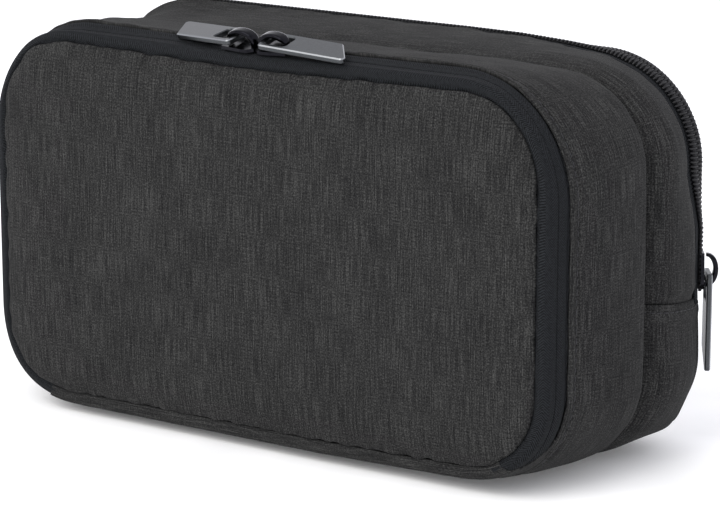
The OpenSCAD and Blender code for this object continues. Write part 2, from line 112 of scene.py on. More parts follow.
def stretched_noise(tree, coords, across_mm, along_mm, detail=2.0, rough=0.55):
    """Noise whose blotches are across_mm wide and along_mm long on the cloth."""
    place = add(tree, "ShaderNodeVectorMath", {"operation": "MULTIPLY",
                "#1": (1 / (across_mm * MM), 1 / (along_mm * MM), 1 / (across_mm * MM))}, _0=coords)
    return add(tree, "ShaderNodeTexNoise", {"Scale": 1.0, "Detail": detail, "Roughness": rough},
               Vector=place.outputs[0]).outputs["Fac"]


def mixed(tree, a, b, share):
    """A plain weighted mean of two factors."""
    part = add(tree, "ShaderNodeMath", {"operation": "MULTIPLY", "#1": share}, _0=b)
    rest = add(tree, "ShaderNodeMath", {"operation": "MULTIPLY_ADD", "#1": 1 - share}, _0=a,
               _2=part.outputs[0])
    return rest.outputs[0]


def ribs(tree, coords, pitch_mm, direction):
    """Rounded ribs with a given pitch; direction is X or Y of the cloth coordinates."""
    # Blender's wave has 20 radians per unit at scale 1, so one rib takes 2 pi / 20 units.
    wave = add(tree, "ShaderNodeTexWave", {"bands_direction": direction,
               "Scale": 2 * np.pi / 20 / (pitch_mm * MM)}, Vector=coords)
    return wave.outputs["Fac"]


# %% [markdown]
# The shell is a melange polyester: charcoal yarns spun from dark and pale fibres, woven plain. The eye
# sees short pale slubs along the warp, a fainter weft, and a fine weave. The cloth coordinates are in
# metres with the warp along v, so that the streaks turn with each strip of cloth.

# %% Melange polyester, woven
def melange(name, dark, middle, pale, weave_mm=0.7):
    """Heathered cloth: long warp slubs, fine fibre specks and a weft, over a plain weave."""
    # The real yarns are about 0.35 mm apart, under a pixel here, so the weave is drawn at 0.7 mm.
    material, tree, shader, coords = finish_named(name, Roughness=0.9, Specular_IOR_Level=0.06,
                                                  Sheen_Weight=0.02, Sheen_Roughness=0.5)
    cloth = coords.outputs["UV"]
    # Sizes across and along the warp: thick places in a yarn, single fibres, the weft, faded patches.
    slubs = stretched_noise(tree, cloth, 0.42, 12, 3.0, 0.65)
    specks = stretched_noise(tree, cloth, 0.42, 0.55, 2.0, 0.6)
    weft = stretched_noise(tree, cloth, 7, 0.55, 1.5)
    patches = stretched_noise(tree, cloth, 18, 40, 1.0)
    yarn = mixed(tree, mixed(tree, mixed(tree, slubs, specks, 0.54), weft, 0.10), patches, 0.06)
    weave = mixed(tree, ribs(tree, cloth, weave_mm, "X"), ribs(tree, cloth, weave_mm, "Y"), 0.5)
    colour = dyed(tree, yarn, [(0.385, dark), (0.50, middle), (0.63, pale)])
    surfaced(tree, shader, colour, mixed(tree, weave, yarn, 0.5), 0.5, 0.35)
    return material


shell_cloth = melange("melange_polyester_woven", "#121213", "#252525", "#444443")
lining_cloth = melange("polyester_lining_woven", "#4a4c50", "#5a5c60", "#6c6e71")
print("cloths:", shell_cloth.name, lining_cloth.name)

# %% [markdown]
# Zip tape is a dense polyester herringbone, blue-black. Its bands of slanted twill change direction
# every few millimetres, which a triangle wave of the across coordinate gives.

# %% Zip tape, herringbone woven
def herringbone(name, dark, pale, band_mm=2.0, pitch_mm=0.85):
    """Slanted ribs: waves of v + fold(u), where fold is a triangle wave as wide as two bands."""
    # Twill lines are about 0.5 mm apart on the real tape; 0.85 mm is about the finest that shows here.
    material, tree, shader, coords = finish_named(name, Roughness=0.8, Specular_IOR_Level=0.1)
    split = add(tree, "ShaderNodeSeparateXYZ", Vector=coords.outputs["UV"])
    fold = add(tree, "ShaderNodeMath", {"operation": "PINGPONG", "#1": band_mm * MM}, _0=split.outputs["X"])
    slant = add(tree, "ShaderNodeMath", {"operation": "ADD"}, _0=fold.outputs[0], _1=split.outputs["Y"])
    turn = add(tree, "ShaderNodeMath", {"operation": "MULTIPLY", "#1": 2 * np.pi / (pitch_mm * MM)},
               _0=slant.outputs[0])
    rib = add(tree, "ShaderNodeMath", {"operation": "SINE"}, _0=turn.outputs[0])
    rib = add(tree, "ShaderNodeMath", {"operation": "MULTIPLY_ADD", "#1": 0.5, "#2": 0.5}, _0=rib.outputs[0])
    fibres = stretched_noise(tree, coords.outputs["UV"], 1.0, 0.7, 2.0, 0.6)
    height = mixed(tree, rib.outputs[0], fibres, 0.66)
    surfaced(tree, shader, dyed(tree, height, [(0.35, dark), (0.67, pale)]), height, 0.6, 0.3)
    return material


tape_cloth = herringbone("zip_tape_herringbone", "#040506", "#242629")
print("tape:", tape_cloth.name)

# %% [markdown]
# The small parts: drawn nylon, sewing thread, knitted elastic and plated zinc. Each could be one flat
# colour, but a grain of its real size breaks the light up a little, which keeps it from looking like
# plastic foil. A puller's bevels get a brighter metal colour as a painted highlight, and a face attribute
# says where.

# %% Nylon, thread, webbing and plated zinc
def speckled(name, dark, pale, grain_mm, relief_mm, **sockets):
    """A fine uneven grain of a given size in colour and relief, on the piece's own coordinates."""
    material, tree, shader, coords = finish_named(name, **sockets)
    grain = stretched_noise(tree, coords.outputs["Object"], grain_mm, grain_mm, 2.0)
    surfaced(tree, shader, dyed(tree, grain, [(0.3, dark), (0.7, pale)]), grain, 0.25, relief_mm)
    return material


def webbing(name, dark, pale, pitch_mm=1.2):
    """Knitted ribs along the band."""
    material, tree, shader, coords = finish_named(name, Roughness=0.85, Specular_IOR_Level=0.25)
    rib = ribs(tree, coords.outputs["UV"], pitch_mm, "X")
    surfaced(tree, shader, dyed(tree, rib, [(0.2, dark), (0.8, pale)]), rib, 0.5, 0.25)
    return material


def paint_edge_highlight(material, code):
    """Paints a highlight: mixes a brighter colour in where the face attribute for the painted highlight is 1.
    """
    tree = material.node_tree
    base = tree.nodes["Principled BSDF"].inputs["Base Color"]
    where = add(tree, "ShaderNodeAttribute", {"attribute_name": "painted_highlight"})
    bright = add(tree, "ShaderNodeMix", {"data_type": "RGBA", "#7": linear(code)},
                 _0=where.outputs["Fac"], _6=base.links[0].from_socket)
    tree.links.new(bright.outputs[2], base)


# Drawn nylon thread has a soft gloss: small highlights run along each bar of a coil.
coil_nylon = speckled("nylon_coil_black", "#0d0d0f", "#1b1b1e", 1.5, 0.02, Roughness=0.45,
                      Specular_IOR_Level=0.3)
# Spun thread is dull, and its twist shows only as a fine unevenness.
thread = speckled("polyester_thread_black", "#141416", "#26262a", 0.3, 0.03, Roughness=0.75)
# Knitted elastic has ribs along the band, with dark lines between them.
elastic = webbing("elastic_webbing_knit", "#141416", "#26262a")
# Satin plating on cast zinc spreads the reflection of the sky over a whole face.
gunmetal = speckled("zinc_gunmetal_satin", "#404244", "#4c4e50", 0.5, 0.006, Metallic=1.0, Roughness=0.36)
# The bevels get a brighter metal colour, a painted highlight along the puller's edges.
paint_edge_highlight(gunmetal, "#85878a")
# Black nickel is almost a dark mirror, so it is black with a few sharp glints.
black_nickel = speckled("zinc_black_nickel", "#17171a", "#202024", 0.9, 0.004, Metallic=1.0, Roughness=0.2)
print("hard finishes:", coil_nylon.name, gunmetal.name, black_nickel.name)

# %% [markdown]
# Every strip of the pouch follows a rounded rectangle, seen from the front. An outline is [half width,
# bottom, top, top radius, bottom radius, shift to the right] in millimetres. A step t counts from 0 at
# the right end of the top right corner, counter-clockwise: even steps are corners, odd steps are sides.
# So the same t means the same place on every outline, and a strip is an outline that changes by rows.

# %% Outlines
STEP_MM = (58, 160, 58, 57, 52, 160, 52, 57)   # about how long each of the eight steps is
RING_MM = 640.0                                # about how long a whole outline is
FINE_MM, TAPE_MM, COARSE_MM = 1.1, 1.4, 3.0    # between the columns of shell cloth, tapes and linings


def inset(o, d):
    """An outline moved inwards by d."""
    return np.asarray(o, float) + np.multiply.outer(d, [-1.0, 1.0, -1.0, -1.0, -1.0, 0.0])


def turn_at(t):
    """Angle of an outline's outward direction at each step: it turns in the corners alone."""
    k = np.floor(np.mod(t, 8))
    return np.where(k % 2 == 0, k // 2 + np.mod(t, 8) - k, k // 2 + 1) * np.pi / 2


def outline_at(outlines, t):
    """x and z of each outline (rows) at each step (columns): corner centre + radius (cos, sin), and
    along a side the way from one corner's end to the next corner's start."""
    a, low, top, rt, rb, shift = np.atleast_2d(outlines).T[:, :, None]
    turn = turn_at(t)
    t = np.mod(t, 8)
    k = np.floor(t).astype(int)
    corner = k // 2
    along = np.where(k % 2 == 0, 0, t - k)
    radius = np.concatenate([rt, rt, rb, rb], 1)
    cx = np.concatenate([a - rt, rt - a, rb - a, a - rb], 1)
    cz = np.concatenate([top - rt, top - rt, low + rb, low + rb], 1)
    ends = (corner, (corner + 1) % 4)
    x0, x1 = (cx[:, c] + radius[:, c] * np.cos(turn) for c in ends)
    z0, z1 = (cz[:, c] + radius[:, c] * np.sin(turn) for c in ends)
    return (1 - along) * x0 + along * x1 + shift, (1 - along) * z0 + along * z1


def steps_between(start, end, spacing):
    """Steps from start to end, about spacing mm apart, with every corner's ends among them."""
    marks = [start, *np.arange(np.floor(start) + 1, np.ceil(end)), end]
    parts = []
    for a, b in zip(marks[:-1], marks[1:]):
        count = max(2, int(round(STEP_MM[int(np.floor(a)) % 8] * (b - a) / spacing)))
        parts.append(np.linspace(a, b, count, endpoint=False))
    return np.append(np.concatenate(parts), end)


WHOLE = steps_between(-2, 6, FINE_MM)          # from the bottom, so that the join is out of sight
COARSE = steps_between(-2, 6, COARSE_MM)
print("a whole ring has", len(WHOLE), "columns, or", len(COARSE), "on a lining")

# %% [markdown]
# A pouch on a table isn't quite even. Its front rim sags in the middle, its lower corners are filled or
# creased where they stand, and its back edge twists so that the zip faces outwards. Each piece could be
# sculpted, but neighbours would part. Here each shift is a smooth function of the place, shared by all
# strips, so that they stay together. The tables are [places], [values] to read between, in millimetres.

# %% How the pouch has settled
RIM_RISE = ([-41.0, -32.5, 5.0], [1.6, 0.9, 0.0])       # by y: how far the top's ends stand up
RIM_SAG, RIM_LEFT, RIM_RIGHT = 45.0, 1.5, 1.0           # half width of the sag; shares of the two halves
RIM_Z = (95, 125)                                       # heights over which the sag comes in
DISH, DISH_Y, DISH_HALF = 0.97, -37.2, 3.5              # share, place and half width of the level chain
DISH_X = (90, 74)                                       # the ends of the sliders' run
LIFT_X = ([25, 60, 82, 100], [0, 0.8, 1.4, 0.2])        # lift of the front's lower right end, by x,
LIFT_Y, LIFT_Z = ([-38, -20, 0], [1, 0.8, 0]), (24, 4)  # and how it fades by y and z
TOP_CORNER = (76, 90)                                   # centre of the back edge's top corners
SEAM_X = ([-60, 30, 50, 68, 90, 118], [0.35, 0.35, 0.0, -1.3, -3.8, -4.0])    # shift of the back zip's seam
SEAM_Y = ([16, 34, 38, 41.5], [0, 1, 0.85, 0.1])
SEAM_RIGHT_Z, SEAM_LEFT_Z, SEAM_GROWS = 73, 85, 18
EDGE_X = ([-60, 20, 70, 95, 112, 118], [-0.4, -0.4, 0.15, 0.5, 0.4, 0.4])     # and of the edge behind it
EDGE_Y, EDGE_Z = ([38, 41.5, 44, 47], [0, 1, 0.8, 0.25]), (80, 100)
SIDE_FULL, SIDE_Z = 1.2, (30, 20)                       # the right side under its seam
SIDE_Y = ([14, 34, 42, 46], [0, 1, 1, 0])
LOW_CORNER = (88.6, 30.9, 28.5)                         # centre and radius of the back's lower right corner
CREASE_FROM, CREASE_TO, CREASE_SOFT = np.radians([22, 69, 2.5])
CREASE_Y = ([12, 32, 41, 45], [0, 1, 1, 0])
FULL_CENTRE, FULL, FULL_R = (-71.6, 35.0), 1.5, (8, 28)      # the front's lower left corner, and its filling
FULL_Y = ([-36, -15, 4], [1, 0.8, 0])


def part_way(value, start, end):
    """How far a value is from start to end: 0 before, 1 past it, even in between."""
    return np.clip((value - start) / (end - start), 0, 1)


def hump(value, middle, half):
    """A bell curve: 1 at the middle, and 1 / e at half from it."""
    return np.exp(-((value - middle) / half) ** 2)


def settled(x, y, z):
    """Heights after the top edges have sagged in the middle: the front rim is lowest at x = 0, and its
    left half stands up a little more than its right half. The lower right end stands off the table."""
    rise = np.interp(y, *RIM_RISE) * (1 - hump(x, 0, RIM_SAG))
    # The chain keeps level as far as its sliders run, so the tapes are dished there.
    dish = DISH * np.exp(-((y - DISH_Y) / DISH_HALF) ** 4) * part_way(np.abs(x), *DISH_X)
    lift = np.interp(x, *LIFT_X) * np.interp(y, *LIFT_Y) * part_way(z, *LIFT_Z)
    return z + np.where(x < 0, RIM_LEFT, RIM_RIGHT) * rise * (1 - dish) * part_way(z, *RIM_Z) + lift


def back_edge(x, y, z):
    """Sideways and upward shift of the back edge. Round its top the zip's seam lies further in and the
    edge behind it further out, so that the zip faces outwards; under the side seam the edge is fuller, and
    the lower right corner is creased."""
    cx, cz = np.clip(np.abs(x) - TOP_CORNER[0], 0, None), np.clip(z - TOP_CORNER[1], 0, None)
    turn = np.arctan2(cz, cx + 1e-9)
    low = np.where(x > 0, SEAM_RIGHT_Z, SEAM_LEFT_Z)
    seam = np.interp(x, *SEAM_X) * part_way(z, low, low + SEAM_GROWS) * np.interp(y, *SEAM_Y)
    edge = np.interp(x, *EDGE_X) * part_way(z, *EDGE_Z) * np.interp(y, *EDGE_Y)
    push = seam + edge
    fuller = SIDE_FULL * (hump(z, *SIDE_Z) * np.interp(y, *SIDE_Y) * part_way(x, 0, 100))
    # At the crease the corner's arc is filled out to two of its tangents: r (1 / cos(angle) - 1).
    angle = np.arctan2(x - LOW_CORNER[0], LOW_CORNER[1] - z)
    half, off = (CREASE_TO - CREASE_FROM) / 2, angle - (CREASE_TO + CREASE_FROM) / 2
    away = np.clip(half - np.sqrt(off ** 2 + CREASE_SOFT ** 2), 0, None)
    fill = LOW_CORNER[2] * (1 / np.cos(away) - 1) * np.interp(y, *CREASE_Y)
    dx = np.sign(x) * push * np.cos(turn) + fuller + fill * np.sin(angle)
    return dx, push * np.sin(turn) - fill * np.cos(angle)


def full_corner(x, y, z):
    """The front's lower left corner is filled out by FULL sin(2 a) ** 2 at angle a, fading to its centre."""
    rx, rz = np.clip(FULL_CENTRE[0] - x, 0, None), np.clip(FULL_CENTRE[1] - z, 0, None)
    r = np.hypot(rx, rz) + 1e-9
    push = FULL * (2 * rx * rz / r ** 2) ** 2 * part_way(r, *FULL_R) * np.interp(y, *FULL_Y)
    return -push * rx / r, -push * rz / r


def strip_points(outlines, depths, t):
    """Grid of points (rows, columns, 3): one outline and one depth y for each row."""
    x, z = outline_at(outlines, t)
    y = np.broadcast_to(np.asarray(depths, float)[:, None], x.shape)
    dx, dz = back_edge(x, y, z)
    fx, fz = full_corner(x, y, z)
    return np.stack([x + dx + fx, y, settled(x, y, z) + dz + fz], -1)


print("the back's lower right crease spans", np.degrees([CREASE_FROM, CREASE_TO]).round(), "degrees")

# %% [markdown]
# A grid of points knows its own lengths, which serve as cloth coordinates, and its own outward
# direction, along which puckers stand. Puckers are sums of a few cosines. On a closed ring their lengths
# are rounded to whole turns, so that they meet at the join.

# %% Lengths, directions and waves of a grid
def unit(v):
    """Vectors of length 1."""
    return v / np.maximum(np.linalg.norm(v, axis=-1, keepdims=True), 1e-9)


def lengths_along(line):
    """How far along a line of points each of them lies."""
    return np.concatenate([[0], np.cumsum(np.linalg.norm(np.diff(line, axis=0), axis=1))])


def sampled(line, at, where):
    """Rows that go with a line's lengths, such as its points or normals, read at other lengths."""
    return np.stack([np.interp(where, at, column) for column in line.T], 1)


def run_lengths(p, axis):
    """How far along rows or columns each point of a grid lies, from the mean of its steps."""
    steps = np.linalg.norm(np.diff(p, axis=axis), axis=-1)
    return np.concatenate([[0], np.cumsum(steps.mean(axis=1 - axis))])


def spread(p):
    """The same for a whole grid: lengths along the rows and down the columns."""
    u, v = run_lengths(p, 1), run_lengths(p, 0)
    return np.broadcast_to(u, p.shape[:2]), np.broadcast_to(v[:, None], p.shape[:2])


def ring_lengths(p):
    """Lengths along a row, scaled on a closed ring so that its end is RING_MM and patterns meet there."""
    u = run_lengths(p, 1)
    return u * RING_MM / u[-1] if np.allclose(p[:, 0], p[:, -1]) else u


def cloth_uv(p):
    """Cloth coordinates in mm from the lengths of a grid's rows and columns, warp along the rows."""
    return np.stack(spread(p)[::-1], -1)


def face_uv(p):
    """Cloth coordinates of an upright panel: x across and z along the warp."""
    return p[..., [0, 2]]


def outward(p):
    """Unit normals of a grid whose rows go to the back and whose columns go counter-clockwise."""
    closed = np.allclose(p[:, 0], p[:, -1])
    wide = np.concatenate([p[:, -2:-1], p, p[:, 1:2]], 1) if closed else p
    n = np.cross(np.gradient(wide, axis=0), np.gradient(wide, axis=1))
    return unit(n[:, 1:-1] if closed else n)


def waves(u, v, size, seed, count=14, period=None):
    """Smooth uneven waves from -1 to 1: a sum of cosines with seeded directions, about size mm long."""
    rng = np.random.default_rng(seed)
    angle = rng.uniform(0, 2 * np.pi, count)
    k = rng.uniform(0.6, 1.4, count) / size
    ku = k * np.cos(angle)
    if period:
        ku = np.round(ku * period) / period
    phase = rng.uniform(0, 2 * np.pi, count)
    total = np.cos(2 * np.pi * (u[..., None] * ku + v[..., None] * k * np.sin(angle)) + phase).sum(-1)
    return total / np.sqrt(2 * count)


def rest_on_table(p, soft=0.8, floor=-0.4):
    """Presses a grid flat on the table: d = z - floor becomes (d + sqrt(d d + soft soft)) / 2."""
    q = p.copy()
    d = q[..., 2] - floor
    q[..., 2] = floor + (d + np.sqrt(d * d + soft * soft)) / 2
    return q


sample = waves(np.linspace(0, 100, 200), np.zeros(200), 10, 1)
print("a sample of 10 mm puckers goes from", sample.min().round(2), "to", sample.max().round(2))

# %% [markdown]
# A piece is a mesh over a grid of points. It rides on one body of the frame, or at the fold of the back it
# stays where it was built. It has its finish, and the nodes of the frame that it stands for are hidden.

# %% From grids to pieces
FOLD = "the fold"


def new_piece(name, points, faces, finish, smooth=True):
    """A mesh object from points in mm and faces as lists of corners."""
    mesh = bpy.data.meshes.new(name)
    mesh.from_pydata((points * MM).tolist(), [], faces)
    mesh.polygons.foreach_set("use_smooth", np.full(len(faces), smooth))
    mesh.materials.append(finish)
    mesh.update()
    piece = bpy.data.objects.new(name, mesh)
    bpy.context.scene.collection.objects.link(piece)
    return piece


def piece_from_grid(name, p, uv, finish, thickness=0.0, smooth=True):
    """A mesh from a grid of points in mm and cloth coordinates in mm. A grid whose last column meets its
    first is closed, and rows with one and the same point are welded. thickness grows inwards."""
    rows, cols = p.shape[:2]
    flat = p.reshape(-1, 3)
    keys = np.round(flat / 1e-4).astype(np.int64)
    first, index = np.unique(keys, axis=0, return_index=True, return_inverse=True)[1:]
    i, j = (a.ravel() for a in np.meshgrid(np.arange(rows - 1), np.arange(cols - 1), indexing="ij"))
    quads = np.stack([i * cols + j, (i + 1) * cols + j, (i + 1) * cols + j + 1, i * cols + j + 1], 1)
    welded = index.reshape(-1)[quads]
    keep = welded != np.roll(welded, 1, axis=1)
    real = keep.sum(1) > 2
    welded, keep = welded[real], keep[real]
    faces = [[v for v, used in zip(*face) if used] for face in zip(welded.tolist(), keep.tolist())]
    piece = new_piece(name, flat[first], faces, finish, smooth)
    corners = quads[real][keep]
    layer = piece.data.uv_layers.new(name="UVMap")
    layer.data.foreach_set("uv", (uv.reshape(-1, 2)[corners] * MM).astype(np.float32).ravel())
    if thickness:
        wall = piece.modifiers.new("thickness", "SOLIDIFY")
        wall.thickness = thickness * MM
        wall.offset = -1
    return piece


def dress(piece, body, slot, *nodes):
    """The piece rides on a body, or stays where it was built at the fold, and hides its CAD nodes; slot is
    not used.
    """
    if body == FOLD:
        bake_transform(piece)
    else:
        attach(piece, body)
    if nodes:
        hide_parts(*nodes)
    print(piece.name, len(piece.data.polygons), "faces, on", body)


def cut_flat(piece, p, held, *rests_on, width=None):
    """Works out the width of the flat cloth, the given one or the length down the grid's columns, and keeps
    nothing.
    """
    width = width or run_lengths(p, 0)[-1]


# %% [markdown]
# The seams are where the outlines are known: the front zip, the waist between the compartments, and the
# back zip. A gusset is the strip of cloth between two of them. It is sewn along both edges, so it stands
# out most in between, pulls into small puckers beside each seam, and is pressed flat under the pouch. A
# cloth simulation could find such a form too, but it could move the seams that the zips follow.

# %% Gussets
FRONT_SEAM, FRONT_Y = [107.3, 2.0, 130.0, 38.0, 33.0, 2.7], -32.4
WAIST, WAIST_FRONT_Y, WAIST_BACK_Y = [114.2, 0.5, 125.0, 28.0, 33.0, 0.8], 4.4, 5.6
REAR_SEAM, REAR_Y = [114.5, 2.4, 128.2, 36.4, 28.5, 2.6], 33.9
# How far a gusset swells on its right, top, left and bottom, and caves in at its top left corner.
FRONT_SWELL = (3.2, 0.8, 3.0, 0.0, 1.6)
REAR_SWELL = (3.2, 0.8, 2.6, 0.5, 4.8)
SWELL_POWER, CAVE_STEP, CAVE_HALF = 2.6, 2.3, 0.5
# How much the same four sides take part in the roll into the waist, and its lift, depth and reach.
ROLL_SHARE, ROLL_LIFT, ROLL_DEEP = (1.0, 0.4, 0.4, 0.1), 2.0, 5.0
FRONT_REACH, REAR_REACH = 0.16, 0.36
# Height, length and fading distance of slow waves, of puckers near a seam and of gathers along it.
SWAY, PUCKER, GATHER = (0.55, 55, 8), (0.22, 17, 9), (0.16, 6.5, 4)
# Height, place and half width of a stitched fold, of the furrow behind it and of a welt at a cross seam.
LIP, FURROW, WELT = (0.45, 1.0, 0.9), (0.4, 2.6, 0.5), (0.35, 4.2, 1.2)
FRONT = (FRONT_SEAM, FRONT_Y, WAIST, WAIST_FRONT_Y, FRONT_SWELL)
REAR = (WAIST, WAIST_BACK_Y, REAR_SEAM, REAR_Y, REAR_SWELL)
SHELL = (shell_cloth, "melange_fabric", 1.6)      # finish, slot and thickness
SIDE_SEAM_Z = 51.0


def gusset(o1, y1, o2, y2, swell, rows, t, seed, waist_last, lip=False):
    """A strip that swells by (1 - |2 s - 1| ** 2.6) from seam to seam, times swell's share for the right,
    top, left and bottom, and caves in by swell's last value at the top left corner, where nothing fills it.
    At the waist, in row 0 or -1, it rolls in by an ellipse: lift - deep (1 - sqrt(1 - b b)), where b goes
    from 0 to 1 over the reach.
    It has puckers that fade away from both seams and, with a lip, a stitched fold beside its first seam."""
    s = 0.5 - 0.5 * np.cos(np.pi * np.linspace(0, 1, rows))
    o = np.outer(1 - s, o1) + np.outer(s, o2)
    bulge = 1 - np.abs(2 * s - 1) ** SWELL_POWER
    right, up = np.cos(turn_at(t)), np.sin(turn_at(t))
    away = np.stack([right, 0 * right, up], -1)
    sides = np.clip([right, up, -right, -up], 0, 1) ** 2
    sides[2] **= 2                      # the left side swells only along its straight run
    cave = swell[4] * hump(np.mod(t, 8), CAVE_STEP, CAVE_HALF)
    out = away * (np.asarray(swell[:4]) @ sides - cave)[:, None]
    share, reach = (s, FRONT_REACH) if waist_last else (1 - s, REAR_REACH)
    bend = np.clip(1 - (1 - share) / reach, 0, 1)
    roll = ROLL_LIFT * share - ROLL_DEEP * (1 - np.sqrt(1 - bend ** 2))
    rolled = away * (np.asarray(ROLL_SHARE) @ sides)[:, None]
    p = strip_points(o, y1 + (y2 - y1) * s, t) + bulge[:, None, None] * out + roll[:, None, None] * rolled
    u, v = np.broadcast_to(ring_lengths(p), p.shape[:2]), spread(p)[1]
    width = v[-1, 0]
    edge = np.minimum(v, width - v)
    h = SWAY[0] * waves(u, v, SWAY[1], seed, period=RING_MM) * part_way(edge, 0, SWAY[2])
    h += PUCKER[0] * waves(u, v, PUCKER[1], seed + 1, period=RING_MM) * np.exp(-edge / PUCKER[2])
    h += GATHER[0] * waves(u, v * 0.3, GATHER[1], seed + 2, period=RING_MM) * np.exp(-edge / GATHER[2])
    # The wall of the waist's valley is pulled tight by its seam, and has no puckers.
    h *= part_way(width - v if waist_last else v, 1, 5)
    if lip:
        h += LIP[0] * hump(v, *LIP[1:]) - FURROW[0] * hump(v, *FURROW[1:])
    return rest_on_table(p + outward(p) * h[..., None])


def sewn_strip(name, p, node, finish, slot, thickness):
    """A strip of cloth sewn in between two seams."""
    piece = piece_from_grid(name, p, cloth_uv(p), finish, thickness)
    dress(piece, "pouch", slot, node)
    cut_flat(piece, p, "stretched", "divider_panel")


def right_step(o, z):
    """Step at which an outline's right side is at height z."""
    return -(o[2] - o[3] - z) / (o[2] - o[3] - o[1] - o[4])


def end_roll(p, depth=0.9, reach=2.5):
    """Rolls both ends of an open strip inwards, as an edge that is turned in at a cross seam."""
    along = spread(p)[0]
    d = np.minimum(along, along[0, -1] - along)
    drop = depth * hump(d, 0, reach) - WELT[0] * hump(d, *WELT[1:])
    return p - outward(p) * drop[..., None]


seam_right = right_step(REAR_SEAM, SIDE_SEAM_Z)
seam_left = 3 - seam_right
upper_steps = steps_between(seam_right, seam_left, FINE_MM)
lower_steps = steps_between(seam_left, 8 + seam_right, FINE_MM)
front_gusset_points = gusset(*FRONT, 64, WHOLE, 11, True, lip=True)
sewn_strip("front_gusset_cloth", front_gusset_points, "front_gusset", *SHELL)
rear_upper_points = end_roll(gusset(*REAR, 52, upper_steps, 31, False))
sewn_strip("rear_gusset_upper_cloth", rear_upper_points, "rear_gusset_upper", *SHELL)

# %% [markdown]
# Under the side seam the lower strip runs on round the back edge to the back panel, where the zip has
# ended. Its extra rows follow a quadratic curve from the zip seam, so the edge is a soft shoulder.

# %% Lower back gusset with its shoulder
SHOULDER = [(0.0, REAR_Y), (0.6, 40.8), (8.6, 45.0)]      # [inset, y] of its start, control and end


def bent(points, count):
    """Quadratic curve from a to c, drawn towards b: (1 - f) ** 2 a + 2 f (1 - f) b + f ** 2 c."""
    f = np.linspace(0, 1, count)[:, None]
    a, b, c = np.asarray(points, float)
    return (1 - f) ** 2 * a + 2 * f * (1 - f) * b + f ** 2 * c


def carried(line, outline, t):
    """A profile of [inset, y] points carried along an outline."""
    line = np.asarray(line, float)
    return strip_points(inset(outline, line[:, 0]), line[:, 1], t)


shoulder_points = rest_on_table(carried(bent(SHOULDER, 16)[1:], REAR_SEAM, lower_steps))
rear_lower_points = gusset(*REAR, 52, lower_steps, 41, False)
rear_lower_points = end_roll(np.concatenate([rear_lower_points, shoulder_points], 0), 0.5)
sewn_strip("rear_gusset_lower_cloth", rear_lower_points, "rear_gusset_lower", *SHELL)

# %% [markdown]
# The lid and the back are padded panels. Each is a crowned pad: its rows near the edge are insets of the
# outline, so they roll over evenly, and the rows inside shrink to a line along the middle. The stitching
# that gathers the edge leaves shallow puckers, strongest on the long top side.

# %% Padded panels
LID, LID_Y = [101.1, 8.0, 123.4, 26.0, 26.0, 2.2], -41.1
BACK, BACK_Y = inset(REAR_SEAM, 8.4), 45.0
PANEL_T = 1.2
CROWN, CROWN_W, EDGE_TOP = 3.0, 15.0, 0.55      # height and width of the crown, and where it starts
RISE, RISE_W, UNEVEN = 0.9, 55, (0.35, 60)      # of the filling: rise, its width, and waves on it
EDGE_ROLL = np.array([(1.3, -2.2), (0.45, -1.5), (0.08, -0.8), (0.0, -0.1), (0.25, 0.35), (0.8, 0.75)])


def to_spine(rim, outline, rows, t):
    """Rows that go on from a rim to the outline's middle line, where the top and bottom sides share their
    places, and the share f of the way for each of them."""
    middle_z = (outline[1] + outline[2]) / 2
    reach = max(outline[0] - (outline[2] - outline[1]) / 2, 0)
    x = np.interp(np.mod(t, 8), [0, 1, 2, 5, 6, 8], np.array([1, 1, -1, -1, 1, 1]) * reach)
    spine = np.stack([x + outline[5], rim[-1, :, 1], np.full(len(t), middle_z)], -1)
    f = np.linspace(0, 1, rows)[1:]
    share = f[:, None, None]
    return np.concatenate([rim, rim[-1] * (1 - share) + spine * share], 0), f


def panel(outline, y, way, seed, pucker):
    """Rows from the rolled edge to the middle line, raised by crown (1 - (1 - d / w) ** 2.2) at depth d."""
    d = np.concatenate([EDGE_ROLL[:, 0], np.linspace(1.5, CROWN_W, 22)])
    crown = 1 - (1 - d[len(EDGE_ROLL):] / CROWN_W) ** 2.2
    h = np.concatenate([EDGE_ROLL[:, 1], EDGE_TOP + (CROWN - EDGE_TOP) * crown])
    border = strip_points(inset(outline, d), y + way * h, WHOLE)
    p, f = to_spine(border, outline, 34, WHOLE)
    depth = np.concatenate([d, CROWN_W + f * 40])[:, None]
    u = np.broadcast_to(ring_lengths(border), p.shape[:2])
    over = p[..., 2] - (outline[1] + outline[2]) / 2
    top = 0.55 + 0.45 * np.clip(over / 50, -0.6, 1)
    rise = RISE * (1 - (1 - part_way(depth, 0, RISE_W)) ** 2)
    rise = (rise + UNEVEN[0] * waves(p[..., 0], p[..., 2], UNEVEN[1], seed)) * part_way(depth, 1, 13)
    gather = pucker * top * waves(u, u * 0, 13, seed + 1, period=RING_MM) * np.exp(-depth / 5)
    gather += 0.5 * pucker * waves(u, u * 0, 6, seed + 2, period=RING_MM) * np.exp(-depth / 2.5)
    p[..., 1] += way * (rise + gather)
    p[..., 2] += 0.5 * gather * np.sign(over) * np.exp(-depth / 3)
    return p[::-1] if way < 0 else p


for name, outline, y, way, seed, pucker, body, nodes in (
        ("lid_cover_padded", LID, LID_Y, -1, 51, 0.75, "lid", ["lid_panel", "lid_foam"]),
        ("back_cover_padded", BACK, BACK_Y, 1, 61, 0.35, FOLD,
         ["back_panel", "back_foam", "flap_panel", "flap_foam"])):
    p = panel(outline, y, way, seed, pucker)
    cover = piece_from_grid(name, p, face_uv(p), shell_cloth, PANEL_T)
    dress(cover, body, "melange_fabric", *nodes)

# %% [markdown]
# The front zip is a covered one: two tapes meet edge to edge and hide the coil behind them. The band lies
# nearly level beside the gusset, then bends down to the lid. A tape is a profile of [inset, y] points that
# is carried along the band, so one line draws the whole of it.

